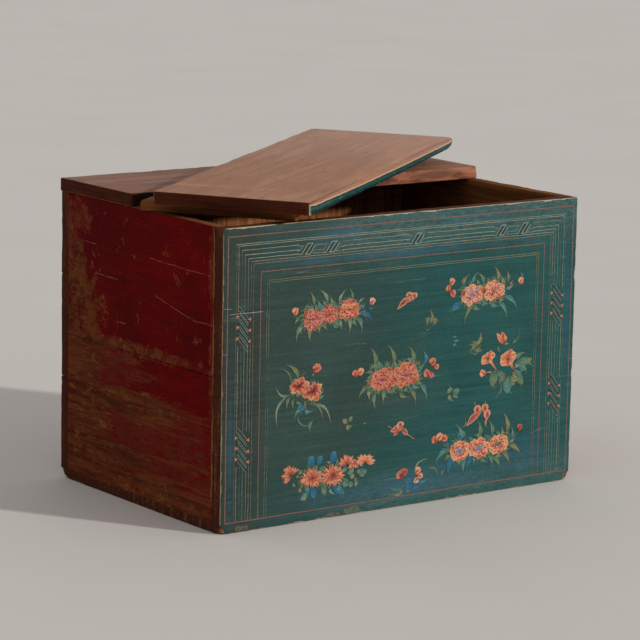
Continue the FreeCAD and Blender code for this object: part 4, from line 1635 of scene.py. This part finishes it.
        (126, 222, 143, 226, 12, "leaf", "petal"), (119, 208, 117, 218, 9, "pale", "petal"),
        (62, 372, 70, 392, 6, "gold", "petal"), (58, 372, 52, 384, 6, "olive", "petal"),
        (66, 372, 80, 376, 6, "olive", "petal"), (120, 224, 120, 240, 7, "leaf"),
        (124, 226, 144, 228, 9, "sea", "petal"), (120, 220, 114, 214, 6, "olive"),
        (124, 218, 140, 212, 7, "leaf", "petal"), (122, 214, 124, 204, 7, "leaf"),
        (116, 226, 108, 224, 5, "olive"), (-142, 190, -156, 198, 9, "gold", "petal"),
        (-140, 192, -132, 202, 9, "leaf", "petal"), (-142, 188, -142, 176, 8, "gold", "petal"),
        (-140, 186, -130, 182, 5, "leaf"),
    ],
}


# Blossoms that stand before a tuft: middle and size
TUFTS = {
    "spray_high_left": [(-232, 412, 48, 42), (-194, 417, 40, 36), (-146, 420, 50, 36)],
    "spray_high_right": [(170, 422, 50, 40), (225, 426, 50, 38)],
    "spray_middle_left": [(-266, 277, 34, 30), (-230, 264, 40, 32)],
    "spray_middle": [(-58, 271, 60, 50), (2, 272, 60, 50)],
    "spray_low_left": [(-231, 88, 48, 36), (-182, 87, 54, 40)],
    "spray_low_right": [(251, 101, 52, 38), (201, 98, 50, 38), (147, 98, 46, 40)],
}


def tuft(brush, x, z, wide, high, turn):
    """Short spiky leaves that stand out behind a blossom, above and below it."""
    width = (wide + high) * 0.07
    above, below = ("leaf", "olive", "sea", "stem"), ("olive", "leaf", "stem", "sea")
    for arc, paints in (((-78.0, 78.0), above), ((102.0, 258.0), below)):
        brush.ring("leaf", x, z, wide, high, 13, 0.6, 1.55, width, paints, turn, arc, 0.86)


def peony(brush, x, z, wide, high, paints, petals, turn=0.0, kind="lobe"):
    """A full ruffled blossom: rings of pale-rimmed lobes, with dark creases and flecks of a third paint."""
    outer, inner, heart = paints
    size = (wide + high) / 2
    brush.ring(kind, x, z, wide, high, petals, 0.3, 1.04, size * 0.30, (outer, outer, "rust"), turn)
    brush.ring(kind, x, z, wide, high, petals - 1, 0.2, 0.80, size * 0.25, (outer, inner), turn + 19)
    middle = (inner, outer, "rust")
    brush.ring("lobe", x, z, wide, high, petals - 3, 0.1, 0.56, size * 0.21, middle, turn + 33)
    brush.ring("lobe", x, z, wide, high, 5, 0.0, 0.34, size * 0.16, (inner, outer), turn + 50)
    brush.ring("ray", x, z, wide, high, 9, 0.58, 0.82, 1.7, "wine", turn + 10)
    brush.ring("ray", x, z, wide, high, 7, 0.34, 0.54, 1.7, "wine", turn + 26)
    brush.ring("ray", x, z, wide, high, 6, 0.1, 0.36, 2.2, (heart, "wine"), turn + 30)


def lily(brush, x, z, wide, high, turn=0.0):
    """An open flower with few pointed petals, dark in its throat."""
    size = (wide + high) / 2
    brush.ring("petal", x, z, wide, high, 7, 0.1, 1.06, size * 0.34, ("coral", "amber"), turn)
    brush.ring("petal", x, z, wide, high, 6, 0.1, 0.72, size * 0.24, ("rust", "coral", "rose"), turn + 24)
    brush.ring("ray", x, z, wide, high, 8, 0.08, 0.5, 2.0, "wine", turn + 10)


def open_bloom(brush, x, z, wide, high, eye="violet"):
    """A round open blossom with scalloped petals, dark throat marks and a small cool eye."""
    size = (wide + high) / 2
    brush.ring("lobe", x, z, wide, high, 12, 0.2, 1.02, size * 0.31, ("amber", "amber", "coral"))
    brush.ring("lobe", x, z, wide, high, 10, 0.2, 0.70, size * 0.24, ("amber", "coral"), 14)
    brush.ring("ray", x, z, wide, high, 12, 0.26, 0.62, 2.2, "wine", 8)
    brush.daub(x, z, wide * 0.44, high * 0.36, "mauve")
    brush.ring("petal", x, z, wide, high, 8, 0.1, 0.42, size * 0.13, ("mauve", "coral", eye), 25)
    brush.daub(x, z, wide * 0.22, high * 0.20, eye)
    brush.ring("daub", x, z, wide, high, 5, 0.10, 0.16, 1.5, "pale", 10)


def star_bloom(brush, x, z, wide, high, rays, arc=FULL_TURN, paints=("rust", "coral", "amber")):
    """A many-rayed blossom, whole or as a fan seen from the side."""
    size = (wide + high) / 2
    dark, middle, light = paints
    between = 180 / rays
    brush.ring("ray", x, z, wide, high, rays, 0.15, 1.02, size * 0.095, (middle, light), 0.0, arc)
    brush.ring("ray", x, z, wide, high, rays, 0.08, 0.82, size * 0.085, (middle, "pink", light), between, arc)
    brush.ring("ray", x, z, wide, high, rays, 0.05, 0.6, size * 0.075, (middle, dark), 0.0, arc)
    brush.ring("ray", x, z, wide, high, max(5, rays // 2), 0.02, 0.36, size * 0.07, dark, 0.0, arc)


def cup(brush, x, z, size, turn, paint, petals=3):
    """A bud or small flower of a few round petals that open to one side, each with a dark streak."""
    for k in range(petals):
        angle = math.radians(turn + (k - (petals - 1) / 2) * 46 + 8 * sway(k, x))
        across, up = math.sin(angle) * size, math.cos(angle) * size
        strokes = (("lobe", 0.4, 0.45, 0.5, paint), ("ray", 0.2, 0.2, 0.14, "rust"))
        for kind, back, ahead, width, tone in strokes:
            root, tip = (x - across * back, z - up * back), (x + across * ahead, z + up * ahead)
            brush.stroke(kind, root, tip, size * width, tone)


def trumpet(brush, x, z, wide, high, turn, foot):
    """A trumpet flower: a tapering tube with a lobed mouth."""
    brush.stroke("tube", foot, (x, z), high * 0.44, "amber")
    lean = math.radians(turn)
    for k in range(7):
        angle = 2 * math.pi * k / 7
        across, up = math.sin(angle) * wide / 2, math.cos(angle) * high / 2
        dx = across * math.cos(lean) - up * math.sin(lean)
        dz = across * math.sin(lean) + up * math.cos(lean)
        root, tip = (x + dx * 0.1, z + dz * 0.1), (x + dx, z + dz)
        brush.stroke("lobe", root, tip, high * 0.6, "coral" if k % 3 == 1 else "amber")
    brush.daub(x, z, wide * 0.3, high * 0.3, "rust")
    brush.daub(x - 3, z + 1, wide * 0.12, high * 0.14, "gold")


# Flowers of each spray, over its leaves: how each is painted, then its place, its size and the rest
FLOWERS = {
    "spray_high_left": [
        (cup, -277, 428, 20, -8, "amber"), (cup, -88, 432, 19, 20, "pink"),
        (peony, -194, 416, 46, 38, ("coral", "rose", "wine"), 11, 12, "petal"),
        (peony, -234, 410, 50, 44, ("rose", "coral", "mauve"), 12, 0, "petal"),
        (peony, -146, 421, 54, 38, ("coral", "amber", "pink"), 13, 5, "petal"),
    ],
    "spray_high_right": [
        (cup, 116, 454, 19, 15, "amber"), (cup, 108, 441, 18, -40, "coral"),
        (cup, 118, 431, 20, 100, "coral"), (cup, 300, 441, 19, -20, "amber"),
        (peony, 171, 423, 56, 42, ("amber", "mauve", "violet"), 13, 8),
        (peony, 226, 427, 55, 39, ("amber", "pink", "wine"), 13),
    ],
    "spray_middle_left": [
        (cup, -222, 309, 24, 8, "coral", 4), (lily, -266, 278, 48, 36, 20), (lily, -230, 265, 48, 40),
    ],
    "spray_middle": [
        (cup, -126, 289, 19, -25, "coral"), (cup, -113, 291, 20, 25, "amber"),
        (cup, 71, 292, 22, 0, "coral"), (cup, 80, 283, 17, 110, "rose", 2),
        (cup, 58, 271, 22, -80, "coral"), (cup, 69, 268, 17, 170, "rose", 2),
        (peony, -58, 270, 64, 46, ("coral", "rose", "violet"), 14, 14),
        (peony, 2, 273, 64, 46, ("coral", "rose", "violet"), 14),
    ],
    "spray_middle_right": [
        (trumpet, 217, 287, 40, 22, 24, (241, 259)), (trumpet, 271, 281, 46, 30, 22, (287, 256)),
        (cup, 205, 256, 20, -90, "amber"), (Brush.line, (212, 256), (227, 256), 2.0, "amber", 0.9),
        (Brush.stroke, "petal", (258, 312), (239, 336), 11, "amber"),
        (Brush.stroke, "petal", (262, 314), (252, 338), 13, "coral"),
        (Brush.stroke, "petal", (263, 316), (262, 330), 8, "amber"),
    ],
    "spray_low_left": [
        (star_bloom, -282, 101, 42, 40, 14, (-160.0, 54.0)),
        (star_bloom, -142, 105, 44, 42, 17, (-92.0, 88.0)),
        (star_bloom, -122, 108, 46, 26, 11, (80.0, 230.0)),
        (star_bloom, -97, 105, 50, 34, 17, (-95.0, 100.0), ("coral", "amber", "amber")),
        (star_bloom, -229, 88, 56, 40, 26), (star_bloom, -178, 87, 58, 45, 28),
    ],
    "spray_low_middle": [
        (cup, -6, 65, 22, -60, "coral"), (cup, 3, 69, 24, 10, "rust"), (cup, 39, 69, 20, 25, "amber"),
        (cup, 45, 58, 18, 80, "amber", 2), (cup, 36, 51, 16, 190, "pink"),
    ],
    "spray_low_right": [
        (cup, 82, 129, 20, -70, "coral"), (cup, 106, 129, 20, 70, "coral"), (cup, 94, 133, 22, 0, "amber"),
        (cup, 308, 129, 19, 10, "rust"), (open_bloom, 251, 101, 54, 40, "stem"),
        (open_bloom, 200, 98, 54, 42), (open_bloom, 147, 98, 50, 42),
    ],
}
LEAF_SHARE, VEIN_SHARE = 1.2, 0.22
VEINED_WIDTH = 6


class TRUNK_OT_sprays(bpy.types.Operator):
    """Paint the flower sprays and the loose sprigs on the front"""
    bl_idname = "trunk.sprays"
    bl_label = "Flower sprays"

    def execute(self, context):
        stamps = model_stamps()
        brush = Brush(stamps)
        for name, leaves in LEAVES.items():
            for x, z, wide, high in TUFTS.get(name, ()):
                tuft(brush, x, z, wide, high, x % 23)
            for x0, z0, x1, z1, width, paint, *other in leaves:
                kind = other[0] if other else "leaf"
                brush.stroke(kind, (x0, z0), (x1, z1), width * LEAF_SHARE, paint, 0.94)
                if abs(width) > VEINED_WIDTH and paint != "blue":
                    brush.stroke(kind, (x0, z0), (x1, z1), width * VEIN_SHARE, "vein", 0.8)
            for draw, *values in FLOWERS.get(name, ()):
                draw(brush, *values)
            brush.join(name)
        clear_stamps(stamps)
        return {"FINISHED"}


class TRUNK_OT_butterflies(bpy.types.Operator):
    """Paint the three butterflies on the front"""
    bl_idname = "trunk.butterflies"
    bl_label = "Butterflies"

    def execute(self, context):
        stamps = model_stamps()
        brush = Brush(stamps)
        # Of each, its wings by root, tip, width and paint, its lobes by middle and size, and its thin lines
        insects = {
            "butterfly_high": (
                [(11, 432, -24, 413, 13, "wing"), (14, 430, 2, 424, 9, "coral")],
                [(7, 438, 17, 11), (20, 435, 15, 13), (12, 430, 13, 9)],
                [(25, 441, -6, 424), (19, 428, -14, 417)]),
            "butterfly_middle": (
                [(-4, 162, -33, 163, 15, "wing"), (-6, 160, 13, 149, -11, "rose"),
                 (-12, 158, -26, 152, 8, "coral")],
                [(-8, 172, 17, 13), (-19, 166, 13, 10)],
                [(-31, 167, -40, 172), (12, 148, 28, 137), (-2, 164, -24, 161)]),
            "butterfly_low": (
                [(202, 174, 164, 152, 15, "wing"), (212, 176, 224, 158, -18, "wing"),
                 (218, 160, 216, 141, 5, "peach")],
                [(193, 181, 19, 17), (213, 182, 18, 17), (220, 169, 17, 17)],
                [(189, 188, 183, 197), (214, 188, 213, 196), (199, 172, 174, 158)]),
        }
        for name, (wings, lobes, threads) in insects.items():
            for x0, z0, x1, z1, width, paint in wings:
                brush.stroke("wing", (x0, z0), (x1, z1), width, paint)
            for x, z, wide, high in lobes:
                brush.daub(x, z, wide, high, "wing")
                brush.daub(x, z, wide * 0.5, high * 0.45, "rust")
            for x0, z0, x1, z1 in threads:
                brush.line((x0, z0), (x1, z1), 1.5, "peach", FULL_COVER)
            x, z = wings[0][:2]
            brush.stroke("ray", (x, z - 4), (x + 3, z + 5), 3.6, "gold")
            brush.join(name)
        clear_stamps(stamps)
        return {"FINISHED"}


# The stage

KEY_WAY = (0.50, -0.80, 0.30)
KEY_DISTANCE = 5
KEY_POWER = 2.36
KEY_SPREAD = math.radians(3.0)
KEY_COLOUR = (1.0, 0.975, 0.94)
ROOM_COLOUR = (1.0, 0.985, 0.97, 1.0)
ROOM_LIGHT = 0.42
FLOOR_SIZE = 80
FLOOR_LEVEL = -0.0002
# The camera's place, its yaw, pitch and roll in degrees, and its lens and sensor in millimetres
CAMERA_PLACE = (-3.6866, -4.9764, 1.4731)
CAMERA_ANGLES = (36.556, 10.373, 1.109)
CAMERA_LENS = 168.85
CAMERA_SENSOR = 36.0
CAMERA_REACH = 200


class TRUNK_OT_stage(bpy.types.Operator):
    """Set the floor, the light and the camera"""
    bl_idname = "trunk.stage"
    bl_label = "Stage"

    def execute(self, context):
        clear_selection()
        bpy.ops.mesh.primitive_plane_add(size=FLOOR_SIZE, location=(0, 0, FLOOR_LEVEL))
        floor = context.active_object
        floor.name = "floor"
        floor.data.materials.append(finish("pale_floor"))
        self.lamp(context)
        world = bpy.data.worlds.new("soft_room")
        context.scene.world = world
        world.use_nodes = True
        sky = world.node_tree.nodes["Background"]
        sky.inputs["Color"].default_value = ROOM_COLOUR
        sky.inputs["Strength"].default_value = ROOM_LIGHT
        context.scene.view_settings.view_transform = "Standard"
        self.camera(context)
        return {"FINISHED"}

    def lamp(self, context):
        """A far lamp whose light comes from one way over the whole stage."""
        way = Vector(KEY_WAY)
        bpy.ops.object.light_add(type="SUN", location=way * KEY_DISTANCE)
        lamp = context.active_object
        lamp.name = "key"
        lamp.data.energy = KEY_POWER
        lamp.data.angle = KEY_SPREAD
        lamp.data.color = KEY_COLOUR
        lamp.rotation_euler = (-way).to_track_quat("-Z", "Y").to_euler()

    def camera(self, context):
        """The camera where the photograph was taken from."""
        yaw, pitch, roll = (math.radians(angle) for angle in CAMERA_ANGLES)
        ahead = Vector((math.sin(yaw) * math.cos(pitch), math.cos(yaw) * math.cos(pitch), -math.sin(pitch)))
        right = Vector((math.cos(yaw), -math.sin(yaw), 0))
        up = right.cross(ahead)
        across = right * math.cos(roll) + up * math.sin(roll)
        above = up * math.cos(roll) - right * math.sin(roll)
        turn = Matrix((across, above, -ahead)).transposed().to_4x4()
        bpy.ops.object.camera_add()
        camera = context.active_object
        camera.matrix_world = Matrix.Translation(CAMERA_PLACE) @ turn
        camera.data.sensor_width = CAMERA_SENSOR
        camera.data.sensor_fit = "HORIZONTAL"
        camera.data.lens = CAMERA_LENS
        camera.data.clip_end = CAMERA_REACH
        context.scene.camera = camera


class TRUNK_PT_panel(bpy.types.Panel):
    """The trunk's sizes, colours and steps"""
    bl_label = "Painted trunk"
    bl_idname = "TRUNK_PT_panel"
    bl_space_type = "VIEW_3D"
    bl_region_type = "UI"
    bl_category = "Trunk"

    def draw(self, context):
        layout = self.layout
        for values in (context.scene.trunk_sizes, context.scene.trunk_colours):
            box = layout.box()
            for name in values.__annotations__:
                box.prop(values, name)
        for step in STEPS:
            layout.operator(step.bl_idname)


STEPS = [
    TRUNK_OT_front_wall, TRUNK_OT_side_walls, TRUNK_OT_back_wall, TRUNK_OT_bottom, TRUNK_OT_rear_top,
    TRUNK_OT_lid, TRUNK_OT_fastenings, TRUNK_OT_border, TRUNK_OT_sprays, TRUNK_OT_butterflies, TRUNK_OT_stage,
]
CLASSES = [TrunkSizes, TrunkColours, *STEPS, TRUNK_PT_panel]


def register():
    for item in CLASSES:
        bpy.utils.register_class(item)
    bpy.types.Scene.trunk_sizes = bpy.props.PointerProperty(type=TrunkSizes)
    bpy.types.Scene.trunk_colours = bpy.props.PointerProperty(type=TrunkColours)


def unregister():
    del bpy.types.Scene.trunk_colours
    del bpy.types.Scene.trunk_sizes
    for item in reversed(CLASSES):
        bpy.utils.unregister_class(item)


def main():
    register()
    bpy.ops.trunk.front_wall()
    bpy.ops.trunk.side_walls()
    bpy.ops.trunk.back_wall()
    bpy.ops.trunk.bottom()
    bpy.ops.trunk.rear_top()
    bpy.ops.trunk.lid()
    bpy.ops.trunk.fastenings()
    bpy.ops.trunk.border()
    bpy.ops.trunk.sprays()
    bpy.ops.trunk.butterflies()
    bpy.ops.trunk.stage()


if __name__ == "__main__":
    main()
